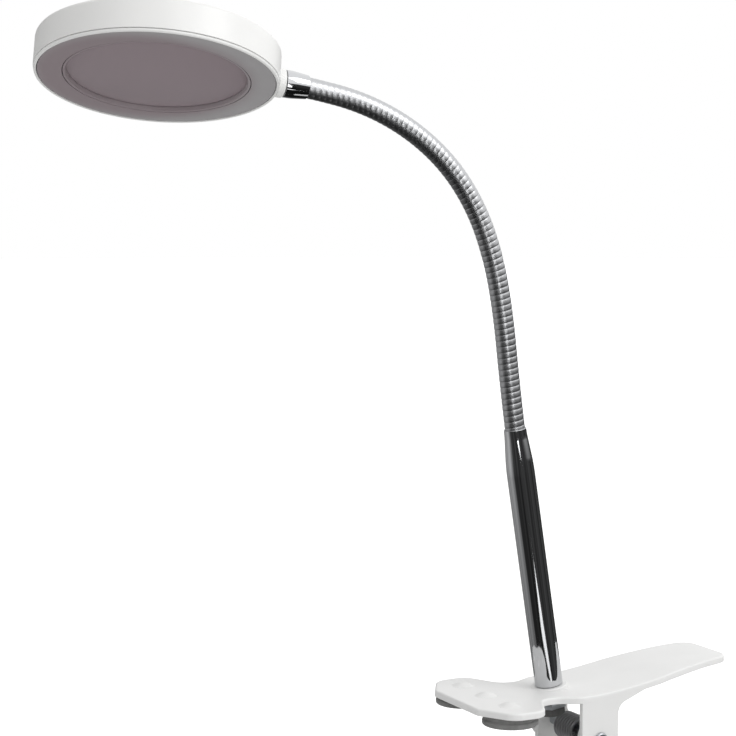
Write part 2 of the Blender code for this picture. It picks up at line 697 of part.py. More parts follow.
def light_ring(head, centre):
    """The bezel, the frosted diffuser and the circuit board with its LEDs."""
    bezel = [
        (HEAD_RADIUS - 0.0002, SHELL_BOTTOM - GAP), (HEAD_RADIUS - 0.0007, -HALF_HEIGHT),
        (SHELL_INNER, -HALF_HEIGHT), (SHELL_INNER, SHELL_BOTTOM - GAP),
    ]
    attach(lathe("bezel_ring", bezel, WHITE_ABS, steps=72), head, centre)
    diffuser = [
        (SHELL_INNER - GAP, DIFFUSER_TOP), (SHELL_INNER - GAP, DIFFUSER_BOTTOM),
        (SLEEVE_INNER, DIFFUSER_BOTTOM), (SLEEVE_INNER, DIFFUSER_TOP),
    ]
    attach(lathe("diffuser_ring", diffuser, FROSTED, steps=72), head, centre)
    outer = SHELL_INNER - BOARD_OUTER_FIT
    inner = SLEEVE_OUTER + BOARD_INNER_FIT
    top = DECK_BOTTOM - GAP
    low = top - CIRCUIT_THICKNESS
    profile = [(outer, top), (outer, low), (inner, low), (inner, top)]
    board = lathe("led_board", profile, CIRCUIT, steps=48)
    middle = (outer + inner) / 2

    def leds(bm):
        for k in range(LED_COUNT):
            size = Matrix.Diagonal((LED_SIZE, LED_SIZE, LED_HEIGHT + 0.0004, 1))
            place = Matrix.Translation((middle, 0, low - LED_HEIGHT / 2 + 0.0002))
            turn = Matrix.Rotation(tau * (k + 0.5) / LED_COUNT, 4, "Z")
            bmesh.ops.create_cube(bm, size=1, matrix=turn @ place @ size)

    boolean(board, bmesh_object("leds", leds, None, CUTTERS), "UNION")
    attach(board, head, centre)


def lens_stack(head, centre):
    """The biconvex lens between its gasket and its retaining ring."""
    curve_radius = (LENS_RADIUS**2 + LENS_SAG**2) / (2 * LENS_SAG)
    reach = asin(LENS_RADIUS / curve_radius)
    low = LENS_LOW
    upper = arc((0, LENS_TOP + LENS_SAG - curve_radius), curve_radius, pi / 2, pi / 2 - reach, 6)
    lower = arc((0, low - LENS_SAG + curve_radius), curve_radius, reach - pi / 2, -pi / 2, 6)
    profile = [(max(r, 0), z) for r, z in upper + lower]
    attach(lathe("lens", profile, LENS_CLEAR, steps=64, closed=False), head, centre)
    inner = LENS_RADIUS - LENS_LEDGE + GAP
    for name, top, height, surface in (
        ("lens_gasket", SEAT - GAP, GASKET_THICKNESS, RUBBER),
        ("lens_retainer", low - GAP, RETAINER_THICKNESS, WHITE_ABS),
    ):
        ring = [
            (LENS_RADIUS, top), (LENS_RADIUS, top - height), (inner, top - height), (inner, top)
        ]
        attach(lathe(name, ring, surface, steps=64), head, centre)


def cover(head, centre):
    """The lift-up lens cover, built about its hinge axis, and the pin it turns on."""
    hinge = centre @ Matrix.Translation((-HINGE_SETBACK, 0, HINGE_HEIGHT))
    top = HINGE_RADIUS
    low = top - COVER_THICKNESS
    lid = cylinder("lens_cover", COVER_RADIUS, low, top, surface=WHITE_ABS, sides=72)
    bmesh_shift(lid, (HINGE_SETBACK, 0, 0))
    half = HINGE_WIDTH / 2
    # The tab ends inside the disc, past the chord where the disc is as wide as the tab.
    reach = HINGE_SETBACK - sqrt(COVER_RADIUS**2 - half**2) + RIM_WIDTH
    tab = box("cover_tab", (0, -half, low), (reach, half, top), collection=CUTTERS)
    boolean(lid, tab, "UNION")
    barrel = cylinder(
        "cover_barrel", HINGE_RADIUS, -half, half, "Y", collection=CUTTERS, sides=16
    )
    boolean(lid, barrel, "UNION")
    bore = cylinder(
        "cover_bore", HINGE_PIN_RADIUS + PIN_CLEARANCE, -HINGE_WIDTH, HINGE_WIDTH, "Y",
        collection=CUTTERS, sides=16,
    )
    boolean(lid, bore, "DIFFERENCE")
    notch = cylinder("finger_notch", NOTCH_RADIUS, low - 0.001, top + 0.001, collection=CUTTERS)
    boolean(lid, notch, "DIFFERENCE")
    notch.location = (HINGE_SETBACK + COVER_RADIUS + NOTCH_RADIUS - NOTCH_DEPTH, 0, 0)
    attach(lid, head, hinge)
    tip = half + KNUCKLE_WIDTH - PIN_INSET
    pin = cylinder("cover_hinge_pin", HINGE_PIN_RADIUS, -tip, tip, "Y", surface=STEEL, sides=16)
    attach(pin, head, hinge)


def bmesh_shift(obj, offset):
    """Moves the mesh away from its object's origin."""
    obj.data.transform(Matrix.Translation(offset))


def magnifier_head():
    head = empty("head_frame", HEAD_FRAME)
    centre = Matrix.Translation((HEAD_OFFSET, 0, 0))
    ferrule_and_collar(head)
    housing(head, centre)
    light_ring(head, centre)
    lens_stack(head, centre)
    cover(head, centre)


spring_clip()
tube()
gooseneck()
magnifier_head()
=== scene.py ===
"""Visual model of a clip-on magnifying lamp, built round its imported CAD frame.

Metres, +Z up. The origin lies midway between the two upper grip pads, on their contact
plane. +X runs along the clip towards its handles and +Y across it.
"""

import json
import logging
from collections.abc import Callable, Sequence
from dataclasses import dataclass
from enum import Enum
from math import acos, asin, atan2, ceil, cos, floor, hypot, pi, radians, sin, sqrt, tan, tau

import bmesh
import bpy
from mathutils import Matrix, Vector


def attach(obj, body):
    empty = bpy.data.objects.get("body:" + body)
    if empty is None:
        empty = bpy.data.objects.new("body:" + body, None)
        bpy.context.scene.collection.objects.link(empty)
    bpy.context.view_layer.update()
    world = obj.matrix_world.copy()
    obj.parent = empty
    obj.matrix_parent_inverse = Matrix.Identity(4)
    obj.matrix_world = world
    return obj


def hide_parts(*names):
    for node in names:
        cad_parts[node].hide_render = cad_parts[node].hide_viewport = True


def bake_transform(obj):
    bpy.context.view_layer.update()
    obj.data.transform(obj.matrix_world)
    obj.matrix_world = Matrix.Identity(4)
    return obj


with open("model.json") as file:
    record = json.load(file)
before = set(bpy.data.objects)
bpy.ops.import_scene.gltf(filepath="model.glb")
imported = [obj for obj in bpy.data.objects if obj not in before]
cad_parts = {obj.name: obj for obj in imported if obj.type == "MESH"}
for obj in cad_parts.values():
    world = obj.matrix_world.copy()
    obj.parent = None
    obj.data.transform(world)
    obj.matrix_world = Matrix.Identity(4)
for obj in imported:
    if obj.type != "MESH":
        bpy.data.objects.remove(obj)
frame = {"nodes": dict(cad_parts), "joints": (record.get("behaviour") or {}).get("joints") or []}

LOG = logging.getLogger("magnifying_lamp")
MM = 0.001
GAP = 0.0003  # between pieces that rest on each other
FINE = 1e-6  # how close two lengths are taken as the same
TUBE_LEAN = radians(9.1)
CRISP = 35.0  # edges sharper than this many degrees stay sharp
EDGE_FINE = 0.0001  # roundings of edges, from stamped sheet up to moulded rubber
EDGE_SMALL = 0.0002
EDGE_SOFT = 0.0003
EDGE_FULL = 0.0005

Corner = tuple[float, float, float]


# ---------------------------------------------------------------- finishes
def linear(code: str) -> tuple[float, float, float, float]:
    """Turns an sRGB hex colour into the linear colour that shaders take.

    Args:
        code: The colour as "#rrggbb".

    Returns:
        Red, green, blue and an alpha of one.
    """
    parts = [int(code[i : i + 2], 16) / 255 for i in (1, 3, 5)]
    made = [v / 12.92 if v <= 0.04045 else ((v + 0.055) / 1.055) ** 2.4 for v in parts]
    return (made[0], made[1], made[2], 1.0)


def add_node(
    tree: bpy.types.NodeTree,
    kind: str,
    settings: dict[str | int, object] | None = None,
    links: dict[str | int, bpy.types.NodeSocket] | None = None,
) -> bpy.types.Node:
    """Adds a node with its settings and its incoming links.

    Args:
        tree: The material's or world's node tree.
        kind: The node's type, such as "ShaderNodeTexNoise".
        settings: Properties and input values, by name or input number.
        links: Sockets that feed its inputs, by name or input number.

    Returns:
        The new node.
    """
    node = tree.nodes.new(kind)
    for key, value in (settings or {}).items():
        if isinstance(key, str) and hasattr(node, key):
            setattr(node, key, value)
        else:
            node.inputs[key].default_value = value
    for key, source in (links or {}).items():
        tree.links.new(source, node.inputs[key])
    return node


def per_mm(size: float) -> float:
    """The texture scale whose features are this many millimetres wide."""
    return 1000.0 / size


@dataclass(frozen=True)
class Pattern:
    """A cloudy random pattern of real size."""

    size: float  # width of a cloud, mm
    detail: float
    harshness: float
    warp: float = 0.0

    def settings(self) -> dict[str | int, object]:
        """The pattern as a noise node's settings."""
        return {
            "Scale": per_mm(self.size), "Detail": self.detail, "Roughness": self.harshness,
            "Distortion": self.warp,
        }


@dataclass(frozen=True)
class Finish:
    """What every finish has: a name, the record's slot, a colour and a gloss."""

    name: str
    slot: str
    colour: str
    roughness: float
    metallic: float = 0.0

    def material(self) -> bpy.types.Material:
        """Makes the material once and hands out the same one after that.

        Returns:
            The finish's material.
        """
        known = bpy.data.materials.get(self.name)
        if known:
            return known
        made = bpy.data.materials.new(self.name)
        made.use_nodes = True
        tree = made.node_tree
        shader = tree.nodes["Principled BSDF"]
        shader.inputs["Base Color"].default_value = linear(self.colour)
        shader.inputs["Roughness"].default_value = self.roughness
        shader.inputs["Metallic"].default_value = self.metallic
        self.detail(tree, shader, add_node(tree, "ShaderNodeTexCoord").outputs["Object"])
        return made

    def detail(
        self, tree: bpy.types.NodeTree, shader: bpy.types.Node, place: bpy.types.NodeSocket
    ) -> None:
        """Adds the finish's own pattern; a subclass says which.

        Args:
            tree: The material's node tree.
            shader: Its Principled BSDF.
            place: The position on the object, in metres.
        """

    def mingle(
        self,
        tree: bpy.types.NodeTree,
        place: bpy.types.NodeSocket,
        pattern: Pattern,
        other: str,
        span: tuple[float, float] = (0.0, 1.0),
        most: float = 1.0,
    ) -> bpy.types.NodeSocket:
        """Clouds the finish's colour with another one.

        Args:
            tree: The material's node tree.
            place: The position on the object.
            pattern: Where the other colour lies.
            other: The other colour.
            span: The pattern's levels that the other colour comes in between.
            most: The greatest share of the other colour.

        Returns:
            The clouded colour.
        """
        cloud = add_node(tree, "ShaderNodeTexNoise", pattern.settings(), {"Vector": place})
        share = add_node(
            tree, "ShaderNodeMapRange",
            {"From Min": span[0], "From Max": span[1], "To Min": 0.0, "To Max": most},
            {"Value": cloud.outputs["Fac"]},
        )
        tone = add_node(
            tree, "ShaderNodeMix",
            {"data_type": "RGBA", 6: linear(self.colour), 7: linear(other)},
            {0: share.outputs["Result"]},
        )
        return tone.outputs[2]

    def dull(
        self,
        tree: bpy.types.NodeTree,
        shader: bpy.types.Node,
        place: bpy.types.NodeSocket,
        pattern: Pattern,
        span: tuple[float, float],
        levels: tuple[float, float],
    ) -> None:
        """Varies the gloss over the surface.

        Args:
            tree: The material's node tree.
            shader: Its Principled BSDF.
            place: The position on the object.
            pattern: Where it is duller.
            span: The pattern's levels that the gloss changes between.
            levels: The roughness at either end of the span.
        """
        cloud = add_node(tree, "ShaderNodeTexNoise", pattern.settings(), {"Vector": place})
        gloss = add_node(
            tree, "ShaderNodeMapRange",
            {"From Min": span[0], "From Max": span[1], "To Min": levels[0], "To Max": levels[1]},
            {"Value": cloud.outputs["Fac"]},
        )
        tree.links.new(gloss.outputs["Result"], shader.inputs["Roughness"])

    def raise_grain(
        self,
        tree: bpy.types.NodeTree,
        shader: bpy.types.Node,
        place: bpy.types.NodeSocket,
        pattern: Pattern,
        strength: float,
        height: float,
    ) -> None:
        """Raises a fine grain.

        Args:
            tree: The material's node tree.
            shader: Its Principled BSDF.
            place: The position on the object.
            pattern: The grain.
            strength: How strongly it shows.
            height: Its height in millimetres.
        """
        grain = add_node(tree, "ShaderNodeTexNoise", pattern.settings(), {"Vector": place})
        bump = add_node(
            tree, "ShaderNodeBump", {"Strength": strength, "Distance": height * MM},
            {"Height": grain.outputs["Fac"]},
        )
        tree.links.new(bump.outputs["Normal"], shader.inputs["Normal"])


@dataclass(frozen=True)
class MouldedPlastic(Finish):
    """Injection-moulded ABS or polypropylene with a fine spark-eroded skin.

    The eye gets a soft sheen that breaks up slightly, and a faint cloudiness in the colour
    where the melt flowed.
    """

    shade: str = "#e6e6e5"  # the cloudier tone of the flow marks
    flow: float = 26.0  # width of a flow mark, mm
    wipe: float = 30.0  # width of a patch wiped by hands, mm
    grain: float = 0.35  # the mould's spark-eroded grain, mm; drawn at three times life
    depth: float = 0.012  # of the grain, mm
    gloss_spread: float = 0.025

    def detail(
        self, tree: bpy.types.NodeTree, shader: bpy.types.Node, place: bpy.types.NodeSocket
    ) -> None:
        """Clouds the colour, varies the gloss and adds the mould's grain.

        Args:
            tree: The material's node tree.
            shader: Its Principled BSDF.
            place: The position on the object, in metres.
        """
        tone = self.mingle(tree, place, Pattern(self.flow, 3.0, 0.45, 0.6), self.shade)
        tree.links.new(tone, shader.inputs["Base Color"])
        levels = (self.roughness - self.gloss_spread, self.roughness + self.gloss_spread)
        self.dull(tree, shader, place, Pattern(self.wipe, 1.0, 0.4), (0.3, 0.7), levels)
        self.raise_grain(tree, shader, place, Pattern(self.grain, 2.0, 0.55), 0.35, self.depth)


@dataclass(frozen=True)
class PlatedMetal(Finish):
    """Metal that was drawn or rolled, then polished or plated.

    The eye gets a mirror that is a little uneven: long faint polishing marks, and a film
    where hands have been.
    """

    film: float = 14.0  # width of a handling mark, mm
    film_depth: float = 0.03  # how much it dulls the gloss
    streak: float = 0.8  # spacing of the polishing marks, mm
    streak_stretch: float = 0.02  # their width over their length
    streak_depth: float = 0.0  # of the marks, mm
    along: tuple[float, float, float] = (0.0, 0.0, 0.0)  # turns the marks onto the piece, radians

    def detail(
        self, tree: bpy.types.NodeTree, shader: bpy.types.Node, place: bpy.types.NodeSocket
    ) -> None:
        """Dulls the mirror where it was handled and draws the polishing marks.

        Args:
            tree: The material's node tree.
            shader: Its Principled BSDF.
            place: The position on the object, in metres.
        """
        levels = (self.roughness, self.roughness + self.film_depth)
        self.dull(tree, shader, place, Pattern(self.film, 4.0, 0.55), (0.35, 0.75), levels)
        if not self.streak_depth:
            return
        turned = add_node(
            tree, "ShaderNodeMapping",
            {"Rotation": self.along, "Scale": (1.0, 1.0, self.streak_stretch)}, {"Vector": place},
        )
        marks = Pattern(self.streak, 2.0, 0.6)
        self.raise_grain(
            tree, shader, turned.outputs["Vector"], marks, 0.3, self.streak_depth
        )


@dataclass(frozen=True)
class MouldedRubber(Finish):
    """Soft grey rubber, matt, with a dusty bloom in patches."""

    bloom: str = "#8f8f8d"
    bloom_size: float = 5.0  # width of a dusty patch, mm
    bloom_most: float = 0.55
    grain: float = 0.5  # mm
    depth: float = 0.03  # mm

    def detail(
        self, tree: bpy.types.NodeTree, shader: bpy.types.Node, place: bpy.types.NodeSocket
    ) -> None:
        """Adds the bloom and the fine grain.

        Args:
            tree: The material's node tree.
            shader: Its Principled BSDF.
            place: The position on the object, in metres.
        """
        dust = Pattern(self.bloom_size, 5.0, 0.6)
        tone = self.mingle(tree, place, dust, self.bloom, (0.35, 0.75), self.bloom_most)
        tree.links.new(tone, shader.inputs["Base Color"])
        self.raise_grain(tree, shader, place, Pattern(self.grain, 3.0, 0.6), 0.5, self.depth)


@dataclass(frozen=True)
class FrostedAcrylic(Finish):
    """Opal acrylic with a sand-blasted face, unlit: an even grey with a dull sheen.

    Its even grey is painted shade: the opal sheet itself is whiter. Towards the lens, centred low
    and to the left, a mauve painted shade darkens it further.
    """

    deep: str = "#a19fa0"  # where the light box behind it is darker
    mauve: str = "#968a8e"
    centre: tuple[float, float, float] = (-0.1666, 0.0297, 0.3085)  # of the painted mauve shade, low left
    reach: float = 0.0500  # how far the painted mauve shade runs from there
    fade: float = 0.006
    cloud: float = 22.0  # mm
    frost: float = 0.3  # blasting grit, mm; drawn at twice life
    frost_depth: float = 0.01  # mm

    def detail(
        self, tree: bpy.types.NodeTree, shader: bpy.types.Node, place: bpy.types.NodeSocket
    ) -> None:
        """Clouds the sheet slightly, paints a mauve shade on its inner side and frosts its face.

        Args:
            tree: The material's node tree.
            shader: Its Principled BSDF.
            place: The position on the object, in metres.
        """
        tone = self.mingle(tree, place, Pattern(self.cloud, 2.0, 0.5), self.deep)
        away = add_node(
            tree, "ShaderNodeVectorMath", {"operation": "DISTANCE", 1: self.centre}, {0: place}
        )
        outside = add_node(
            tree, "ShaderNodeMapRange",
            {"interpolation_type": "SMOOTHSTEP", "From Min": self.reach - self.fade,
             "From Max": self.reach + self.fade},
            {"Value": away.outputs["Value"]},
        )
        # Painted shade: the sheet turns mauve near a centre that lies low and to the left of the
        # lens.
        painted_shade_tone = add_node(
            tree, "ShaderNodeMix", {"data_type": "RGBA", 6: linear(self.mauve)},
            {0: outside.outputs["Result"], 7: tone},
        )
        tree.links.new(painted_shade_tone.outputs[2], shader.inputs["Base Color"])
        grit = Pattern(self.frost, 2.0, 0.6)
        self.raise_grain(tree, shader, place, grit, 0.4, self.frost_depth)


@dataclass(frozen=True)
class CoatedLens(Finish):
    """Polished acrylic lens with an anti-glare coat, which leaves a mauve cast.

    With the cover shut behind it a mauve-grey haze is most of what the eye sees: its grey is
    painted shade, standing for the shaded underside of the cover seen through the glass, and its
    mauve is the coat's cast.
    """

    clear: float = 0.35  # how much of the light goes through the coat
    bending: float = 1.49  # acrylic's refractive index
    smear: float = 18.0  # width of a finger mark, mm
    smear_depth: float = 0.06  # how much it dulls the gloss

    def detail(
        self, tree: bpy.types.NodeTree, shader: bpy.types.Node, place: bpy.types.NodeSocket
    ) -> None:
        """Lets light through, with a smear too faint to see except in a highlight.

        Args:
            tree: The material's node tree.
            shader: Its Principled BSDF.
            place: The position on the object, in metres.
        """
        shader.inputs["Transmission Weight"].default_value = self.clear
        shader.inputs["IOR"].default_value = self.bending
        levels = (self.roughness, self.roughness + self.smear_depth)
        self.dull(tree, shader, place, Pattern(self.smear, 3.0, 0.5), (0.4, 0.8), levels)


WHITE_ABS = MouldedPlastic("white_gloss_abs", "white_abs", "#f0f0ee", 0.30, shade="#ebebea")
CLIP_PLASTIC = MouldedPlastic(
    "white_satin_polypropylene", "white_clip_plastic", "#ededec", 0.42, shade="#e4e4e3",
    grain=0.45, depth=0.02,
)
TUBE_CHROME = PlatedMetal(
    "polished_chrome_tube", "chrome", "#c9cacc", 0.05, 1.0, streak_depth=0.004,
    along=(0.0, TUBE_LEAN, 0.0),
)
COIL_CHROME = PlatedMetal(
    "chrome_gooseneck_wire", "chrome", "#bebfc1", 0.32, 1.0, film=6.0, film_depth=0.06
)
ZINC_STEEL = PlatedMetal("zinc_plated_steel", "zinc_steel", "#b9bcc0", 0.28, 1.0, film=4.0)
SPRING_STEEL = PlatedMetal("oiled_spring_steel", "spring_steel", "#8d8d8f", 0.32, 1.0, film=3.0)
PAD_RUBBER = MouldedRubber("grey_grip_rubber", "grey_rubber", "#747473", 0.78)
SEAL_RUBBER = MouldedRubber("dark_seal_rubber", "grey_rubber", "#4c4c4b", 0.7, bloom="#626260")
# The diffuser's grey is painted shade; the opal sheet itself is whiter.
DIFFUSER = FrostedAcrylic("frosted_opal_acrylic", "frosted_acrylic", "#aeacad", 0.5)
# The lens's mauve-grey colour is painted shade over the coat's own mauve cast.
LENS_GLASS = CoatedLens("coated_acrylic_lens", "clear_lens", "#b3a5aa", 0.22)
CIRCUIT = MouldedPlastic(
    "white_solder_mask", "circuit_board", "#e9ece6", 0.35, shade="#dfe3da", flow=5.0, grain=0.25
)
LED_GEL = MouldedPlastic(
    "led_phosphor_gel", "circuit_board", "#e2c65a", 0.25, shade="#d8b846", flow=1.5, grain=0.2
)
CABLE = MouldedPlastic("grey_pvc_sheath", "cable_sheath", "#c9c9c9", 0.5, shade="#bfbfbf", flow=6.0)


# ---------------------------------------------------------------- mesh building
class Lie(Enum):
    """How a flat outline lies before it gets its thickness."""

    FLAT = "flat"  # in XY, thick along Z
    UPRIGHT = "upright"  # in XZ, thick along Y


class Former:
    """Builds one piece's mesh from turned, sliced and coiled shapes."""

    def __init__(self) -> None:
        """Starts with an empty mesh."""
        self.bm = bmesh.new()

    def take(self, shape: bmesh.types.BMesh, place: Matrix | None = None) -> None:
        """Adds a finished shape to the piece and frees it.

        Args:
            shape: The shape, with its faces pointing out.
            place: Where it goes, or None to leave it.
        """
        if place is not None:
            bmesh.ops.transform(shape, matrix=place, verts=shape.verts)
        carrier = bpy.data.meshes.new("carrier")
        shape.to_mesh(carrier)
        shape.free()
        self.bm.from_mesh(carrier)
        bpy.data.meshes.remove(carrier)

    def turned(
        self,
        profile: Sequence[Corner],
        place: Matrix | None = None,
        segments: int = 96,
        steps: int = 3,
    ) -> "Former":
        """Turns a profile about Z and rounds its corners.

        Args:
            profile: (radius, height, fillet) corners. Ends off the axis are joined.
            place: Where the turned shape goes.
            segments: Faces round the axis.
            steps: Faces across a fillet.

        Returns:
            This former.
        """
        shape = bmesh.new()
        verts = [shape.verts.new((r, 0, z)) for r, z, _ in profile]
        edges = [shape.edges.new(pair) for pair in zip(verts, verts[1:])]
        if profile[0][0] > FINE and profile[-1][0] > FINE:
            edges.append(shape.edges.new((verts[-1], verts[0])))
        bmesh.ops.spin(
            shape, geom=verts + edges, axis=(0, 0, 1), angle=tau, steps=segments, use_merge=True
        )
        bmesh.ops.remove_doubles(shape, verts=shape.verts, dist=FINE)
        bmesh.ops.recalc_face_normals(shape, faces=shape.faces)
        for radius, height, fillet in profile:
            if not fillet:
                continue
            ring = [
                e
                for e in shape.edges
                if all(
                    abs(hypot(v.co.x, v.co.y) - radius) < FINE and abs(v.co.z - height) < FINE
                    for v in e.verts
                )
            ]
            self.bevel(shape, ring, fillet, steps)
        self.take(shape, place)
        return self

    def arced(
        self, points: Sequence[tuple[float, float]], place: Matrix | None, segments: int = 96
    ) -> "Former":
        """Turns a profile of plain (radius, height) points about Z.

        Args:
            points: The profile, whose ends lie on the axis or are joined.
            place: Where the turned shape goes.
            segments: Faces round the axis.

        Returns:
            This former.
        """
        return self.turned([(r, z, 0.0) for r, z in points], place, segments)

    @staticmethod
    def bevel(
        shape: bmesh.types.BMesh, edges: Sequence[bmesh.types.BMEdge], width: float, steps: int
    ) -> None:
        """Rounds edges by a width.

        Args:
            shape: The mesh they belong to.
            edges: The edges.
            width: How far the rounding reaches from each edge.
            steps: Faces across it.
        """
        bmesh.ops.bevel(
            shape, geom=list(edges), offset=width, offset_type="OFFSET", segments=steps,
            profile=0.5, affect="EDGES", clamp_overlap=False, material=-1,
        )

    def slab(
        self,
        corners: Sequence[Corner],
        low: float,
        high: float,
        lie: Lie = Lie.FLAT,
        rims: tuple[float, float] = (0.0, 0.0),
        stations: Sequence[float] = (),
        bend: Callable[[Vector], Vector] | None = None,
        place: Matrix | None = None,
        corner_steps: int = 8,
    ) -> "Former":
        """Gives an outline a thickness, with rounded corners and rims.

        Args:
            corners: (x, y, radius) corners of the outline, anticlockwise or clockwise.
            low: Where the thickness starts.
            high: Where it ends.
            lie: Whether the outline lies flat or stands upright.
            rims: Fillets of the low and the high rim.
            stations: x positions to slice at, so that the slab can bend.
            bend: Moves each point of the finished slab.
            place: Where the slab goes.
            corner_steps: Faces round each corner.

        Returns:
            This former.
        """
        shape = bmesh.new()
        shape.faces.new([shape.verts.new((x, y, low)) for x, y, _ in corners])
        for i, (x, y, radius) in enumerate(corners):
            if not radius:
                continue
            here = Vector((x, y, low))
            before = Vector((*corners[i - 1][:2], low)) - here
            after = Vector((*corners[(i + 1) % len(corners)][:2], low)) - here
            reach = min(
                radius / tan(before.angle(after) / 2), 0.495 * min(before.length, after.length)
            )
            corner = min(shape.verts, key=lambda v: (v.co - here).length)
            bmesh.ops.bevel(
                shape, geom=[corner], offset=reach, offset_type="OFFSET", segments=corner_steps,
                profile=0.5, affect="VERTICES", clamp_overlap=False, material=-1,
            )
        raised = bmesh.ops.extrude_face_region(shape, geom=list(shape.faces))["geom"]
        moved = [v for v in raised if isinstance(v, bmesh.types.BMVert)]
        bmesh.ops.translate(shape, verts=moved, vec=(0, 0, high - low))
        bmesh.ops.recalc_face_normals(shape, faces=shape.faces)
        for level, width in zip((low, high), rims):
            if width:
                rim = [e for e in shape.edges if all(abs(v.co.z - level) < FINE for v in e.verts)]
                self.bevel(shape, rim, width, 3)
        for x in stations:
            everything = shape.verts[:] + shape.edges[:] + shape.faces[:]
            bmesh.ops.bisect_plane(
                shape, geom=everything, dist=FINE, plane_co=(x, 0, 0), plane_no=(1, 0, 0)
            )
        if lie is Lie.UPRIGHT:
            # Stands it up so that its thickness runs from low to high along +Y.
            stand = Matrix.Rotation(pi / 2, 4, "X") @ Matrix.Diagonal((1, 1, -1, 1))
            bmesh.ops.transform(shape, matrix=stand, verts=shape.verts)
            bmesh.ops.recalc_face_normals(shape, faces=shape.faces)
        if bend:
            for vert in shape.verts:
                vert.co = bend(vert.co)
        self.take(shape, place)
        return self

    def block(
        self, low: Sequence[float], high: Sequence[float], place: Matrix, width: float = 0.0
    ) -> "Former":
        """Adds a rectangular block with softened edges.

        Args:
            low: Its lowest corner.
            high: Its highest corner.
            place: Where it goes.
            width: The rounding of its edges.

        Returns:
            This former.
        """
        shape = bmesh.new()
        a, b = Vector(low), Vector(high)
        size = Matrix.Translation((a + b) / 2) @ Matrix.Diagonal((*(b - a), 1))
        bmesh.ops.create_cube(shape, size=1, matrix=size)
        if width:
            self.bevel(shape, shape.edges, width, 2)
        self.take(shape, place)
        return self

    def piece(self, name: str, finish: Finish, crisp: float = CRISP) -> bpy.types.Object:
        """Ends the mesh and makes it an object at the origin.

        Args:
            name: The object's name.
            finish: What it is made of.
            crisp: Edges sharper than this many degrees stay sharp.

        Returns:
            The new object.
        """
        mesh = bpy.data.meshes.new(name)
        self.bm.to_mesh(mesh)
        self.bm.free()
        mesh.shade_smooth()
        mesh.set_sharp_from_angle(angle=radians(crisp))
        mesh.materials.append(finish.material())
        obj = bpy.data.objects.new(name, mesh)
        bpy.context.scene.collection.objects.link(obj)
        return obj


def settled(obj: bpy.types.Object) -> bpy.types.Object:
    """Applies an object's modifiers, so that its mesh is what is seen.

    Args:
        obj: The object, at the origin.

    Returns:
        The same object.
    """
    graph = bpy.context.evaluated_depsgraph_get()
    made = bpy.data.meshes.new_from_object(obj.evaluated_get(graph), depsgraph=graph)
    old = obj.data
    made.name = old.name
    obj.modifiers.clear()
    obj.data = made
    bpy.data.meshes.remove(old)
    return obj


def weighted(obj: bpy.types.Object) -> bpy.types.Object:
    """Keeps broad faces flat-looking beside their rounded edges.

    Args:
        obj: The object.

    Returns:
        The same object.
    """
    step = obj.modifiers.new("Weighted normals", "WEIGHTED_NORMAL")
    step.keep_sharp = True
    step.weight = 60
    return settled(obj)


def combine(
    obj: bpy.types.Object, tools: Sequence[tuple[bpy.types.Object, str]]
) -> bpy.types.Object:
    """Cuts or joins tools into an object, then removes the tools.

    Args:
        obj: The object to work on.
        tools: Each tool with its operation, "DIFFERENCE", "UNION" or "INTERSECT".

    Returns:
        The same object.
    """
    for helper, operation in tools:
        step = obj.modifiers.new(helper.name, "BOOLEAN")
        step.operation = operation
        step.solver = "EXACT"
        step.object = helper
    settled(obj)
    obj.data.shade_smooth()
    obj.data.set_sharp_from_angle(angle=radians(CRISP))
    for helper, _ in tools:
        bpy.data.objects.remove(helper)
    return obj


def tool(former: Former, name: str) -> bpy.types.Object:
    """Makes a former's mesh a cutting or joining tool.

    Args:
        former: The shape.
        name: The tool's name.

    Returns:
        An object that is removed after use.
    """
    mesh = bpy.data.meshes.new(name)
    former.bm.to_mesh(mesh)
    former.bm.free()
    obj = bpy.data.objects.new(name, mesh)
    bpy.context.scene.collection.objects.link(obj)
    return obj


def settle_on(obj: bpy.types.Object, body: str, *nodes: str) -> bpy.types.Object:
    """Makes a piece ride on a body and stand for CAD nodes.

    Args:
        obj: The piece.
        body: The CAD body it moves with.
        *nodes: The CAD nodes it replaces.

    Returns:
        The same piece.
    """
    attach(obj, body)
    if nodes:
        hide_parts(*nodes)
    LOG.info("%s rides on %s and replaces %s", obj.name, body, ", ".join(nodes) or "nothing")
    return obj


# ---------------------------------------------------------------- frames
def joint_point(name: str) -> Vector:
    """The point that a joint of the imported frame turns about."""
    return Vector(next(j["pos_m"] for j in frame["joints"] if j["name"] == name))


def basis(x_axis: Vector, y_axis: Vector, origin: Vector) -> Matrix:
    """A frame with these X and Y axes at this origin."""
    turn = Matrix((x_axis, y_axis, x_axis.cross(y_axis))).transposed().to_4x4()
    return Matrix.Translation(origin) @ turn


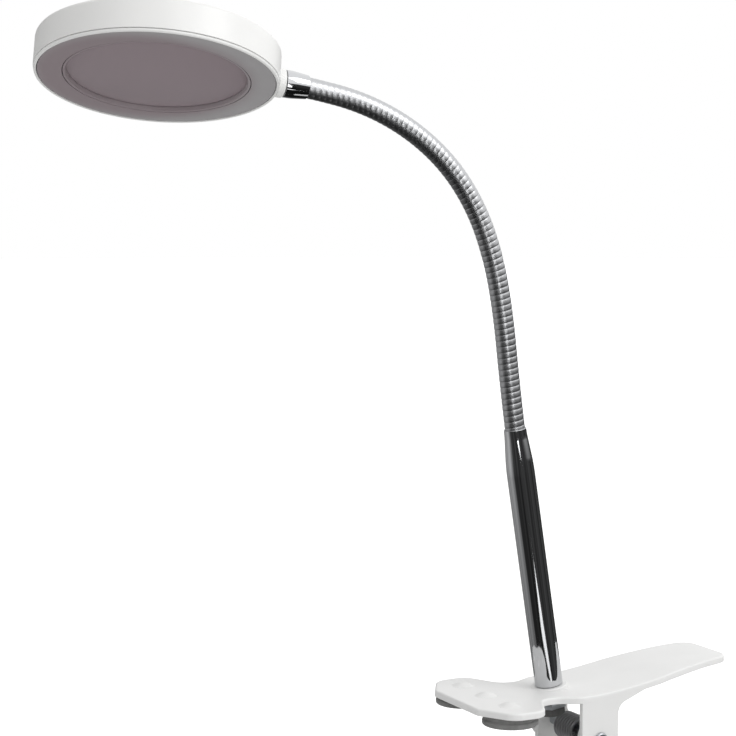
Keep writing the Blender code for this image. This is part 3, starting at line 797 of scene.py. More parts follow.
@dataclass
class LampFrames:
    """The places that the sub-assemblies are built in."""

    tube_backset: float = 0.0144
    plate_outer: float = 0.0223
    heading: float = radians(9.7)
    head_lean: float = radians(81.3)
    head_roll: float = radians(18.7)
    head_offset: float = 0.0732

    @property
    def pivot(self) -> Matrix:
        """The upper lever's frame, on the clip's pivot."""
        return Matrix.Translation(joint_point("clamp_pivot"))

    @property
    def lower(self) -> Matrix:
        """The lower lever's frame: the upper one's, turned over."""
        return self.pivot @ Matrix.Rotation(pi, 4, "X")

    @property
    def tube(self) -> Matrix:
        """The tube's frame, with Z up along it from its foot."""
        foot = Matrix.Translation((-self.tube_backset, 0, self.plate_outer))
        return self.pivot @ foot @ Matrix.Rotation(-TUBE_LEAN, 4, "Y")

    @property
    def head(self) -> Matrix:
        """The head's frame: X from the neck to the lens and Z out of the cover."""
        forward = Vector((-cos(self.heading), sin(self.heading), 0))
        across = Vector((0, 0, 1)).cross(forward)
        ahead = forward * sin(self.head_lean) + Vector((0, 0, cos(self.head_lean)))
        start = basis(ahead, across, joint_point("neck_bend_9"))
        return start @ Matrix.Rotation(self.head_roll, 4, "X")

    @property
    def lens(self) -> Matrix:
        """The head's frame moved to the lens's centre."""
        return self.head @ Matrix.Translation((self.head_offset, 0, 0))

    @property
    def neck(self) -> list[Vector]:
        """The pivots along the gooseneck, from the tube to the head."""
        return [joint_point(f"neck_bend_{k}") for k in range(1, 10)]


# ---------------------------------------------------------------- spring clip
@dataclass
class SpringClip:
    """Two moulded levers on a pivot pin, with a torsion spring and four rubber pads."""

    frames: LampFrames
    mid_plane: float = 0.0135
    plate_inner: float = 0.0188
    plate_outer: float = 0.0223
    pivot_to_pads: float = 0.0508
    jaw_reach: float = 0.0174
    jaw_half: float = 0.03925
    pad_radius: float = 0.01375
    pad_thickness: float = 0.005
    pad_half_spacing: float = 0.023
    waist_half: float = 0.0195
    handle_half: float = 0.025
    handle_length: float = 0.0826
    handle_end_half: float = 0.0182
    taper_start: float = 0.034
    taper_corner: float = 0.030
    corner: float = 0.009
    nose_corner: float = 0.005
    waist_corner: float = 0.007
    waist_length: float = 0.009
    shoulder_length: float = 0.010
    cheek_step: float = 0.001
    boss_radius: float = 0.0092
    boss_height: float = 0.0016
    boss_depth: float = 0.0052
    peg_radius: float = 0.0022
    peg_height: float = 0.0031
    pad_step: float = 0.0012
    pad_grooves: tuple[float, float] = (0.0022, 0.0068)  # in from the pad's rim
    pad_groove_depth: float = 0.0005
    handle_rise: float = 0.0100
    rise_start: float = -0.0092
    cheek_radius: float = 0.0106
    cheek_thickness: float = 0.003
    cheek_gap: float = 0.0005
    cheek_tail: float = 0.031
    dimple_radius: float = 0.0058
    dimple_height: float = 0.0018
    pin_radius: float = 0.0025
    pin_head_radius: float = 0.0034
    pin_head_height: float = 0.0015
    spring_wire: float = 0.001
    spring_radius: float = 0.0062
    spring_turns: int = 6
    spring_reach: float = 0.027

    def build(self) -> None:
        """Builds every piece of the clip."""
        self.lever("lever_upper_moulding", self.frames.pivot, "clip_and_tube", "upper_lever", 0.0)
        self.lever(
            "lever_lower_moulding", self.frames.lower, "lower_jaw", "lower_lever",
            self.cheek_thickness + self.cheek_gap,
        )
        for side, hand in ((1, "left"), (-1, "right")):
            upper, lower = f"upper_pad_{hand}", f"lower_pad_{hand}"
            self.pad(f"pad_upper_{hand}", self.frames.pivot, side, "clip_and_tube", upper)
            self.pad(f"pad_lower_{hand}", self.frames.lower, -side, "lower_jaw", lower)
        self.pin()
        self.spring()

    def height(self, x: float) -> float:
        """How far the handle has risen at x from the pivot."""
        share = (x - self.rise_start) / (self.handle_length - self.rise_start)
        share = min(max(share, 0.0), 1.0)
        return self.handle_rise * share * share * (3 - 2 * share)

    def outline(self) -> list[Corner]:
        """The lever's plan: a jaw with a lobe over each pad, a waist and the handle."""
        jaw = -self.pivot_to_pads
        shoulder = -self.cheek_radius - self.cheek_step
        waist = shoulder - self.shoulder_length
        half = [
            (jaw - self.jaw_reach, self.pad_half_spacing - 0.002, self.nose_corner),
            (jaw - self.pad_radius / 2, self.jaw_half - 0.0005, self.corner),
            (jaw + self.pad_radius * 0.75, self.jaw_half, self.corner),
            (waist - self.waist_length, self.waist_half, self.waist_corner),
            (waist, self.waist_half, self.corner),
            (shoulder, self.handle_half, self.corner),
            (self.taper_start, self.handle_half, self.taper_corner),
            (self.handle_length, self.handle_end_half, self.corner),
        ]
        return half + [(x, -y, radius) for x, y, radius in reversed(half)]

    def cheek(self, radius: float) -> list[Corner]:
        """The side cheek's outline in XZ.

        Args:
            radius: Its rounding about the pivot.

        Returns:
            The outline's corners.
        """
        under = self.plate_inner + self.height(self.cheek_tail)
        return [
            (-radius, self.plate_inner + 0.0019, 0.0),
            (-radius, -radius, radius),
            (radius, -radius, radius),
            (radius, self.plate_inner - 0.003, 0.006),
            (self.cheek_tail, under + 0.001, 0.0),
            (self.cheek_tail, under + 0.0019, 0.0),
        ]

    def lever(self, name: str, place: Matrix, body: str, node: str, inset: float) -> None:
        """Builds one lever: its plate, its cheeks and its three dimples.

        Args:
            name: The piece's name.
            place: The lever's frame.
            body: The CAD body it rides on.
            node: The CAD node it replaces.
            inset: How far its cheeks lie inside the handle's edges.
        """
        made = Former()
        stations = [-0.012 + 0.0035 * k for k in range(28)]

        def rise(point: Vector) -> Vector:
            """Lifts a point of the plate by the handle's rise."""
            return Vector((point.x, point.y, point.z + self.height(point.x)))

        made.slab(
            self.outline(), self.plate_inner, self.plate_outer, rims=(0.0004, 0.0011),
            stations=stations, bend=rise, place=place,
        )
        radius = self.cheek_radius - (self.cheek_step if inset else 0.0)
        outer = self.handle_half - inset - (0.0 if inset else 0.00004)
        for side in (1, -1):
            low, high = sorted((side * outer, side * (outer - self.cheek_thickness)))
            made.slab(
                self.cheek(radius), low, high, Lie.UPRIGHT, rims=(EDGE_FULL, EDGE_FULL),
                place=place, corner_steps=14,
            )
        for spot in (self.pad_half_spacing, 0.0, -self.pad_half_spacing):
            here = Matrix.Translation((-self.pivot_to_pads, spot, self.plate_outer))
            made.arced(self.dimple(), place @ here, 40)
        if not inset:
            boss = [
                (0.0, self.boss_height, 0.0), (self.boss_radius, self.boss_height, 0.0006),
                (self.boss_radius, -self.boss_depth, EDGE_SOFT), (0.0, -self.boss_depth, 0.0),
            ]
            made.turned(boss, self.frames.tube, 64)
        settle_on(weighted(made.piece(name, CLIP_PLASTIC)), body, node)

    def dimple(self) -> list[tuple[float, float]]:
        """A raised dimple's profile, which meets the plate without an edge."""
        rows = 10
        top = [
            (
                self.dimple_radius * k / rows,
                self.dimple_height * (1 - (k / rows) ** 2) ** 1.5 + 0.00003,
            )
            for k in range(rows + 1)
        ]
        return top + [(self.dimple_radius, -0.001), (0.0, -0.001)]

    def pad(self, name: str, lever: Matrix, side: int, body: str, node: str) -> None:
        """Builds a round grip pad with a rolled rim and rings on its face.

        Args:
            name: The piece's name.
            lever: The frame of the lever that it is pressed into.
            side: Its side of the jaw, 1 or -1.
            body: The CAD body it rides on.
            node: The CAD node it replaces.
        """
        r, t, peg = self.pad_radius, self.pad_thickness, self.peg_radius
        step, depth, top = r - self.pad_step, self.pad_groove_depth, t + self.peg_height
        profile = [
            (0.0, top, 0.0), (peg, top, EDGE_SOFT), (peg, t, 0.0), (step, t, EDGE_SOFT),
            (step, t * 0.58, 0.0004), (r, t * 0.5, 0.0006), (r, 0.0, 0.0009),
        ]
        for start in self.pad_grooves:
            for inward, height in ((0.0, 0.0), (0.0004, depth), (0.0024, depth), (0.0028, 0.0)):
                profile.append((r - start - inward, height, EDGE_SMALL))
        profile.append((0.0, 0.0, 0.0))
        spot = Matrix.Translation(
            (-self.pivot_to_pads, side * self.pad_half_spacing, self.mid_plane)
        )
        pad = Former().turned(profile, lever @ spot, 72).piece(name, PAD_RUBBER, 50.0)
        settle_on(weighted(pad), body, node)

    def pin(self) -> None:
        """Builds the domed pivot pin and the push-on clip that holds its end."""
        outer = self.handle_half + GAP
        tip = outer + self.pin_head_height
        lay = self.frames.pivot @ Matrix.Rotation(pi / 2, 4, "X")
        pin = [
            (0.0, tip, 0.0), (self.pin_head_radius, tip, 0.0009),
            (self.pin_head_radius, outer, 0.0), (self.pin_radius, outer, 0.0),
            (self.pin_radius, -tip, EDGE_FULL), (0.0, -tip, 0.0),
        ]
        settle_on(
            weighted(Former().turned(pin, lay, 48).piece("pin_domed", ZINC_STEEL)),
            "clip_and_tube", "pivot_pin",
        )
        hold = self.pin_radius + 0.0002
        cap = [
            (self.pin_head_radius, -outer, EDGE_SOFT),
            (self.pin_head_radius, -tip + GAP, EDGE_SMALL),
            (hold + 0.0006, -tip + GAP, EDGE_SMALL), (hold, -outer - 0.0007, 0.0),
            (hold, -outer, 0.0),
        ]
        settle_on(
            weighted(Former().turned(cap, lay, 48).piece("pin_push_clip", ZINC_STEEL)),
            "clip_and_tube", "pin_clip",
        )

    def spring(self) -> None:
        """Winds the torsion spring, whose legs bear on the two levers."""
        rise = self.plate_inner + self.height(self.spring_reach) - self.spring_wire - 2 * GAP
        tip = Vector((self.spring_reach, rise))
        start = atan2(tip.y, tip.x) + acos(self.spring_radius / tip.length)
        sweep = (self.spring_turns + 1) * tau - 2 * start
        half = sweep / tau * (2 * self.spring_wire + GAP) / 2
        steps = round(sweep / tau * 36)
        path = [Vector((tip.x, -half, rise))]
        for k in range(steps + 1):
            angle = start + sweep * k / steps
            across = half * (2 * k / steps - 1)
            path.append(
                Vector((self.spring_radius * cos(angle), across, self.spring_radius * sin(angle)))
            )
        path.append(Vector((tip.x, half, -rise)))
        spring = swept("spring_coil", path, self.spring_wire, SPRING_STEEL, self.frames.pivot)
        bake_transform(spring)
        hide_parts("torsion_spring")
        LOG.info("spring_coil bends between the levers and replaces torsion_spring")


def swept(
    name: str, path: Sequence[Vector], radius: float, finish: Finish, place: Matrix
) -> bpy.types.Object:
    """Sweeps a round wire along a path, with closed ends.

    Args:
        name: The piece's name.
        path: The wire's centre line.
        radius: The wire's radius.
        finish: What it is made of.
        place: The path's frame.

    Returns:
        The wire as a mesh object at the origin.
    """
    curve = bpy.data.curves.new(name, "CURVE")
    curve.dimensions = "3D"
    curve.bevel_depth = radius
    curve.bevel_resolution = 4
    curve.use_fill_caps = True
    spline = curve.splines.new("POLY")
    spline.points.add(len(path) - 1)
    for point, spot in zip(spline.points, path):
        point.co = (*(place @ spot), 1)
    wire = bpy.data.objects.new(name + "_path", curve)
    bpy.context.scene.collection.objects.link(wire)
    graph = bpy.context.evaluated_depsgraph_get()
    mesh = bpy.data.meshes.new_from_object(wire.evaluated_get(graph), depsgraph=graph)
    bpy.data.objects.remove(wire)
    made = Former()
    made.bm.from_mesh(mesh)
    bmesh.ops.remove_doubles(made.bm, verts=made.bm.verts, dist=FINE)
    bmesh.ops.recalc_face_normals(made.bm, faces=made.bm.faces)
    bpy.data.meshes.remove(mesh)
    return made.piece(name, finish)


# ---------------------------------------------------------------- tube and its fixing
@dataclass
class ChromeTube:
    """The plated tube, swaged to the neck, and the nut, washer and gland below it."""

    frames: LampFrames
    radius: float = 0.007
    wall: float = 0.001
    length: float = 0.135
    swage: float = 0.0206
    lip: float = 0.00045
    mouth_setback: float = 0.00176
    neck_radius: float = 0.005
    boss_height: float = 0.0016
    boss_depth: float = 0.0052
    stem_radius: float = 0.0048
    stem_bore: float = 0.0025
    washer_radius: float = 0.0085
    washer_thickness: float = 0.0008
    nut_radius: float = 0.008
    nut_thickness: float = 0.003
    gland_radius: float = 0.004
    gland_length: float = 0.0045
    lead_radius: float = 0.0016

    def build(self) -> None:
        """Builds the tube and its fixing."""
        foot = self.boss_height + GAP
        washer_top = -self.boss_depth - GAP
        nut_top = washer_top - self.washer_thickness - GAP
        gland_top = nut_top - self.nut_thickness - GAP
        gland_end = gland_top - self.gland_length
        stem_end = gland_top - self.gland_length * 0.5
        self.tube(foot, stem_end)
        self.washer(washer_top)
        self.nut(nut_top)
        self.gland(gland_top, gland_end, stem_end)

    def tube(self, foot: float, stem_end: float) -> None:
        """Builds the tube with its rolled mouth, its swage and its hollow stem.

        Args:
            foot: Where its shoulder stands on the boss.
            stem_end: The stem's lower end.
        """
        mouth = self.length - self.mouth_setback
        shoulder = self.length - self.swage
        bore = self.neck_radius + 0.0001
        profile = [
            (bore + self.lip, mouth, EDGE_SMALL),
            (bore + self.lip + 0.00015, mouth - 0.004, 0.0012),
            (self.radius, shoulder, 0.0045), (self.radius, foot, 0.0004),
            (self.stem_radius, foot, 0.0), (self.stem_radius, stem_end, EDGE_FULL),
            (self.stem_bore, stem_end, EDGE_SOFT), (self.stem_bore, foot + self.wall, 0.0),
            (self.radius - self.wall, foot + self.wall, 0.0),
            (self.radius - self.wall, shoulder - 0.002, 0.0), (bore, mouth - 0.005, 0.0),
            (bore, mouth, 0.0),
        ]
        made = Former().turned(profile, self.frames.tube, 112, steps=6)
        settle_on(weighted(made.piece("tube_plated", TUBE_CHROME)), "clip_and_tube", "chrome_tube")

    def washer(self, top: float) -> None:
        """Builds the flat washer under the plate; top is its upper face."""
        hold = self.stem_radius + GAP
        low = top - self.washer_thickness
        profile = [
            (self.washer_radius, top, EDGE_SMALL), (self.washer_radius, low, EDGE_SMALL),
            (hold, low, EDGE_FINE), (hold, top, EDGE_FINE),
        ]
        made = Former().turned(profile, self.frames.tube, 64)
        settle_on(
            weighted(made.piece("washer_flat", ZINC_STEEL)), "clip_and_tube", "stem_washer"
        )

    def nut(self, top: float) -> None:
        """Builds the thin hexagon nut, with its corners turned down; top is its upper face."""
        low = top - self.nut_thickness
        nut = Former()
        corners = [
            (self.nut_radius * cos(tau * k / 6), self.nut_radius * sin(tau * k / 6), 0.0)
            for k in range(6)
        ]
        nut.slab(corners, low, top, rims=(EDGE_SMALL, EDGE_SMALL))
        hexagon = nut.piece("nut_hexagon", ZINC_STEEL)
        crown = Former()
        wide = self.nut_radius * 1.02
        crown.turned(
            [(0.0, top + 0.001, 0.0), (wide * 0.86 - 0.0004, top + 0.001, 0.0),
             (wide, top - 0.0006, 0.0), (wide, low - 0.001, 0.0), (0.0, low - 0.001, 0.0)],
            None, 48,
        )
        bore = Former().turned(
            [(0.0, top + 0.002, 0.0), (self.stem_radius + GAP, top + 0.002, 0.0),
             (self.stem_radius + GAP, low - 0.002, 0.0), (0.0, low - 0.002, 0.0)], None, 48,
        )
        combine(
            hexagon,
            [(tool(crown, "nut_crown"), "INTERSECT"), (tool(bore, "nut_bore"), "DIFFERENCE")],
        )
        hexagon.data.transform(self.frames.tube)
        settle_on(hexagon, "clip_and_tube", "stem_nut")

    def gland(self, top: float, end: float, stem_end: float) -> None:
        """Builds the rubber gland that grips the lead at the end of the stem.

        Args:
            top: Its upper end.
            end: Its lower end.
            stem_end: Where the stem ends inside it.
        """
        hold = self.stem_radius + GAP
        lead = self.lead_radius + GAP
        profile = [
            (hold + 0.0012, top, 0.0004), (hold + 0.0012, end + 0.001, EDGE_FULL),
            (self.gland_radius, end, 0.0004), (lead, end, EDGE_SMALL),
            (lead, stem_end - GAP, 0.0), (hold, stem_end - GAP, 0.0), (hold, top, EDGE_SMALL),
        ]
        made = Former().turned(profile, self.frames.tube, 64)
        settle_on(weighted(made.piece("gland_rubber", SEAL_RUBBER)), "clip_and_tube", "cord_gland")


# ---------------------------------------------------------------- gooseneck
@dataclass
class Gooseneck:
    """The coiled neck, one even bend cut into a length for each joint."""

    frames: LampFrames
    radius: float = 0.005
    pitch: float = 0.00286
    groove: float = 0.00018
    tuck: float = 0.008  # how far each end runs inside the tube and the ferrule
    round_steps: int = 40
    samples: int = 24

    def build(self) -> None:
        """Winds the coil along the bend and cuts it at the middle of each link."""
        pivots = self.frames.neck
        start = pivots[0] - self.frames.tube.to_3x3() @ Vector((0, 0, self.tuck))
        end = pivots[-1] + self.frames.head.to_3x3() @ Vector((self.tuck, 0, 0))
        cuts = [start] + [(a + b) / 2 for a, b in zip(pivots, pivots[1:])] + [end]
        line = self.centre_line(cuts, pivots)
        for k in range(len(pivots)):
            first, last = k * self.samples, (k + 1) * self.samples
            coil = self.coil(line, first, last).piece(f"neck_coil_{k + 1}", COIL_CHROME, 60.0)
            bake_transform(coil)
            if k < len(pivots) - 1:
                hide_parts(f"neck_segment_{k + 1}")

    def centre_line(
        self, cuts: Sequence[Vector], pivots: Sequence[Vector]
    ) -> list[tuple[float, Matrix]]:
        """Runs an even curve from cut to cut, drawn towards each pivot.

        Args:
            cuts: Where the lengths start and end.
            pivots: The neck's pivots, one between each two cuts.

        Returns:
            (distance along the curve, frame with Z along it) at each sample.
        """
        points: list[Vector] = []
        for k, pivot in enumerate(pivots):
            for n in range(self.samples):
                t = n / self.samples
                points.append(
                    cuts[k] * (1 - t) ** 2 + pivot * 2 * t * (1 - t) + cuts[k + 1] * t * t
                )
        points.append(cuts[-1])
        line: list[tuple[float, Matrix]] = []
        side = Vector((0, 1, 0))
        run = 0.0
        for i, point in enumerate(points):
            ahead = points[min(i + 1, len(points) - 1)] - points[max(i - 1, 0)]
            ahead.normalize()
            side = (side - ahead * side.dot(ahead)).normalized()
            if i:
                run += (point - points[i - 1]).length
            line.append((run, basis(side.cross(ahead), side, point)))
        return line

    def coil(self, line: Sequence[tuple[float, Matrix]], first: int, last: int) -> Former:
        """Winds one length of coil and bends it onto the centre line.

        Args:
            line: The centre line's samples.
            first: The sample that the length starts at.
            last: The sample that it ends at.

        Returns:
            The length as a closed mesh.
        """
        begin, finish = line[first][0], line[last][0]
        turns = ceil((finish - begin) / self.pitch) + 3
        base = (floor(begin / self.pitch) - 2) * self.pitch
        made = Former()
        bm = made.bm
        rows = 10
        verts = [
            bm.verts.new(
                (self.radius - self.groove * self.crown(k / rows), 0, base + self.pitch * k / rows)
            )
            for k in range(rows + 1)
        ]
        edges = [bm.edges.new(pair) for pair in zip(verts, verts[1:])]
        bmesh.ops.spin(
            bm, geom=verts + edges, axis=(0, 0, 1), angle=tau * turns,
            dvec=(0, 0, self.pitch / self.round_steps), steps=self.round_steps * turns,
        )
        bmesh.ops.remove_doubles(bm, verts=bm.verts, dist=FINE * 5)
        for height, inner, outer in ((begin, True, False), (finish, False, True)):
            bmesh.ops.bisect_plane(
                bm, geom=bm.verts[:] + bm.edges[:] + bm.faces[:], dist=FINE / 10,
                plane_co=(0, 0, height), plane_no=(0, 0, 1),
                clear_inner=inner, clear_outer=outer,
            )
        bmesh.ops.holes_fill(bm, edges=[e for e in bm.edges if e.is_boundary], sides=0)
        bmesh.ops.recalc_face_normals(bm, faces=bm.faces)
        for vert in bm.verts:
            vert.co = self.onto(line, first, last, vert.co)
        return made

    @staticmethod
    def crown(share: float) -> float:
        """How deep the surface lies across one turn of wire, 0 on its crown and 1 in the groove."""
        off = abs(2 * share - 1)
        return off**12 * 0.5 + off * off * 0.5

    @staticmethod
    def onto(line: Sequence[tuple[float, Matrix]], first: int, last: int, point: Vector) -> Vector:
        """Carries a point of the straight coil onto the bent centre line.

        Args:
            line: The centre line's samples.
            first: The sample that the length starts at.
            last: The sample that it ends at.
            point: The point, whose z is its distance along the line.

        Returns:
            Where the point goes.
        """
        k = first
        while k < last - 1 and line[k + 1][0] < point.z:
            k += 1
        (near, a), (far, b) = line[k], line[k + 1]
        share = min(max((point.z - near) / (far - near), 0.0), 1.0)
        flat = Vector((point.x, point.y, 0))
        return (a @ flat).lerp(b @ flat, share)


# ---------------------------------------------------------------- magnifier head
@dataclass
class MagnifierHead:
    """The ring light round the lens, its neck fitting and its lift-up cover."""

    frames: LampFrames
    radius: float = 0.0565
    half_height: float = 0.00825
    wall: float = 0.0016
    rounding: float = 0.0018
    deck_top: float = 0.00545
    deck_bottom: float = 0.00345
    bezel_top: float = -0.0069
    shell_bottom: float = -0.0066
    sleeve_inner: float = 0.0433
    sleeve_outer: float = 0.0449
    diffuser_bottom: float = -0.00795
    diffuser_top: float = -0.00635
    recess_radius: float = 0.0505
    cover_radius: float = 0.0501
    cover_thickness: float = 0.0025
    lens_radius: float = 0.043
    lens_low: float = -0.00535
    lens_edge: float = 0.003
    lens_sag: float = 0.0028
    ledge: float = 0.002
    gasket: float = 0.0008
    hinge_setback: float = 0.0526
    hinge_radius: float = 0.0016
    hinge_pin_radius: float = 0.0007
    hinge_half: float = 0.008
    knuckle: float = 0.0062
    ferrule_length: float = 0.0125
    ferrule_radius: float = 0.0065
    ferrule_mouth: float = 0.0012
    collar_length: float = 0.0036
    collar_radius: float = 0.0069
    neck_radius: float = 0.005
    led_count: int = 24
    led_size: float = 0.0028
    led_height: float = 0.0008
    led_sink: float = 0.0002  # into the board

    def build(self) -> None:
        """Builds every piece of the head."""
        self.neck_fitting()
        self.shell()
        self.light_ring()
        self.lens()
        self.cover()

    def hinge(self) -> Matrix:
        """The cover's hinge frame, its Y on the hinge's axis."""
        height = self.half_height - self.hinge_radius
        return self.frames.lens @ Matrix.Translation((-self.hinge_setback, 0, height))

    def neck_fitting(self) -> None:
        """Builds the chrome ferrule and the white collar between neck and shell."""
        along = self.frames.head @ Matrix.Rotation(pi / 2, 4, "Y")
        bore = self.neck_radius + 0.0001
        ferrule = [
            (self.ferrule_radius, self.ferrule_length, EDGE_SOFT),
            (self.ferrule_radius, self.ferrule_length - 0.0035, 0.0012),
            (bore + 0.0005, self.ferrule_mouth, EDGE_SMALL), (bore, self.ferrule_mouth, EDGE_FINE),
            (bore, self.ferrule_length, 0.0),
        ]
        made = Former().turned(ferrule, along, 80, steps=5)
        settle_on(
            weighted(made.piece("ferrule_plated", TUBE_CHROME)), "magnifier_head", "neck_ferrule"
        )
        start = self.ferrule_length + GAP
        end = start + self.collar_length
        collar = [
            (0.0036, end + 0.0021, 0.0), (0.0036, end, 0.0), (self.collar_radius, end, EDGE_SOFT),
            (self.collar_radius, start, 0.0009), (0.002, start, 0.0), (0.002, end + 0.0021, 0.0),
        ]
        made = Former().turned(collar, along, 80)
        settle_on(weighted(made.piece("collar_white", WHITE_ABS)), "magnifier_head", "neck_collar")

    def shell(self) -> None:
        """Builds the housing, with the cover's recess, the hinge pocket and its knuckles."""
        opening = self.lens_radius - self.ledge
        seat = self.lens_low + self.lens_edge + self.gasket + 2 * GAP
        inner = self.radius - self.wall
        profile = [
            (self.recess_radius, self.half_height, EDGE_SOFT),
            (self.radius, self.half_height, self.rounding),
            (self.radius, self.shell_bottom, 0.00025), (inner, self.shell_bottom, 0.0),
            (inner, self.deck_bottom, 0.0), (self.sleeve_outer, self.deck_bottom, 0.0),
            (self.sleeve_outer, self.diffuser_top + GAP, 0.0),
            (self.sleeve_inner, self.diffuser_top + GAP, 0.0),
            (self.sleeve_inner, seat, 0.0), (opening, seat, 0.0), (opening, self.deck_top, 0.0004),
            (self.recess_radius, self.deck_top, 0.0),
        ]
        shell = Former().turned(profile, self.frames.lens, 160, steps=4)
        housing = shell.piece("housing_shell", WHITE_ABS)
        reach = self.hinge_half + self.knuckle
        hinge = self.hinge()
        pocket = Former().block(
            (-0.0027, -reach, -self.hinge_radius - GAP), (0.0051, reach, 0.004), hinge
        )
        tools = [(tool(pocket, "hinge_pocket"), "DIFFERENCE")]
        lay = Matrix.Rotation(pi / 2, 4, "X")
        for side in (1, -1):
            low, high = sorted((side * (self.hinge_half + GAP), side * (reach + 0.0008)))
            knuckle = Former().turned(
                [(0.0, high, 0.0), (self.hinge_radius, high, 0.0),
                 (self.hinge_radius, low, 0.0), (0.0, low, 0.0)], hinge @ lay, 32,
            )
            tools.append((tool(knuckle, f"knuckle_{side}"), "UNION"))
        bore = Former().turned(
            [(0.0, reach - 0.0012, 0.0), (self.hinge_pin_radius + 0.0002, reach - 0.0012, 0.0),
             (self.hinge_pin_radius + 0.0002, -reach + 0.0012, 0.0), (0.0, -reach + 0.0012, 0.0)],
            hinge @ lay, 24,
        )
        tools.append((tool(bore, "knuckle_bore"), "DIFFERENCE"))
        settle_on(weighted(combine(housing, tools)), "magnifier_head", "head_housing")

    def light_ring(self) -> None:
        """Builds the bezel, the diffuser and the circuit board with its LEDs."""
        inner = self.radius - self.wall
        bezel = [
            (self.radius - 0.0002, self.bezel_top, EDGE_SMALL),
            (self.radius - 0.0004, -self.half_height, 0.0006),
            (inner, -self.half_height, EDGE_SOFT), (inner, self.bezel_top, 0.0),
        ]
        made = Former().turned(bezel, self.frames.lens, 160)
        settle_on(weighted(made.piece("bezel_white", WHITE_ABS)), "magnifier_head", "bezel_ring")
        outer = inner - GAP
        sheet = [
            (outer, self.diffuser_top, 0.0), (outer, self.diffuser_bottom, EDGE_SOFT),
            (self.sleeve_inner, self.diffuser_bottom, EDGE_SOFT),
            (self.sleeve_inner, self.diffuser_top, 0.0),
        ]
        made = Former().turned(sheet, self.frames.lens, 160)
        settle_on(
            weighted(made.piece("diffuser_sheet", DIFFUSER)), "magnifier_head", "diffuser_ring"
        )
        self.leds(inner)

    def leds(self, inner: float) -> None:
        """Builds the ring-shaped board and the LED packages on its underside.

        Args:
            inner: The shell's inner radius.
        """
        outer, hole = inner - 0.0006, self.sleeve_outer + 0.0012
        top = self.deck_bottom - GAP
        low = top - 0.001
        spots = ((outer, top), (outer, low), (hole, low), (hole, top))
        ring = [(r, z, EDGE_FINE) for r, z in spots]
        board = Former().turned(ring, self.frames.lens, 96)
        gel = Former()
        for k in range(self.led_count):
            turn = self.frames.lens @ Matrix.Rotation(tau * (k + 0.5) / self.led_count, 4, "Z")
            spot = turn @ Matrix.Translation(((outer + hole) / 2, 0, low))
            half = self.led_size / 2
            board.block(
                (-half, -half, -self.led_height), (half, half, self.led_sink), spot, EDGE_FINE
            )
            gel.turned(
                [(0.0, -0.00095, 0.0), (half * 0.8, -0.00085, 0.0), (half * 0.8, -0.0007, 0.0),
                 (0.0, -0.0007, 0.0)], spot, 16,
            )
        settle_on(board.piece("board_ring", CIRCUIT), "magnifier_head", "led_board")
        settle_on(gel.piece("led_windows", LED_GEL), "magnifier_head")

    def lens(self) -> None:
        """Builds the biconvex lens between its gasket and its retaining ring."""
        top = self.lens_low + self.lens_edge
        curve = (self.lens_radius**2 + self.lens_sag**2) / (2 * self.lens_sag)
        reach = asin(self.lens_radius / curve)
        rows = 20
        upper = [
            (
                curve * sin(reach * k / rows),
                top + self.lens_sag - curve * (1 - cos(reach * k / rows)),
            )
            for k in range(rows + 1)
        ]
        lower = [
            (r, self.lens_low - (z - top)) for r, z in reversed(upper)
        ]
        made = Former().arced(upper + lower, self.frames.lens, 144)
        settle_on(made.piece("lens_biconvex", LENS_GLASS), "magnifier_head", "lens")
        inner = self.lens_radius - self.ledge + GAP
        seat = top + self.gasket + 2 * GAP
        seal = [
            (self.lens_radius, seat - GAP, EDGE_SMALL),
            (self.lens_radius, seat - GAP - self.gasket, EDGE_SMALL),
            (inner, seat - GAP - self.gasket, EDGE_SMALL), (inner, seat - GAP, EDGE_SMALL),
        ]
        made = Former().turned(seal, self.frames.lens, 96)
        settle_on(weighted(made.piece("gasket_soft", SEAL_RUBBER)), "magnifier_head", "lens_gasket")
        low = self.lens_low - GAP
        ring = [
            (self.lens_radius, low, EDGE_SMALL), (self.lens_radius, low - 0.0021, EDGE_SMALL),
            (inner + 0.0006, low - 0.0021, 0.0004), (inner, low - 0.0004, EDGE_SOFT),
            (inner, low, 0.0),
        ]
        # The retainer wears the diffuser's grey and mauve, which are painted shade.
        made = Former().turned(ring, self.frames.lens, 144)
        settle_on(
            weighted(made.piece("retainer_ring", DIFFUSER)), "magnifier_head", "lens_retainer"
        )

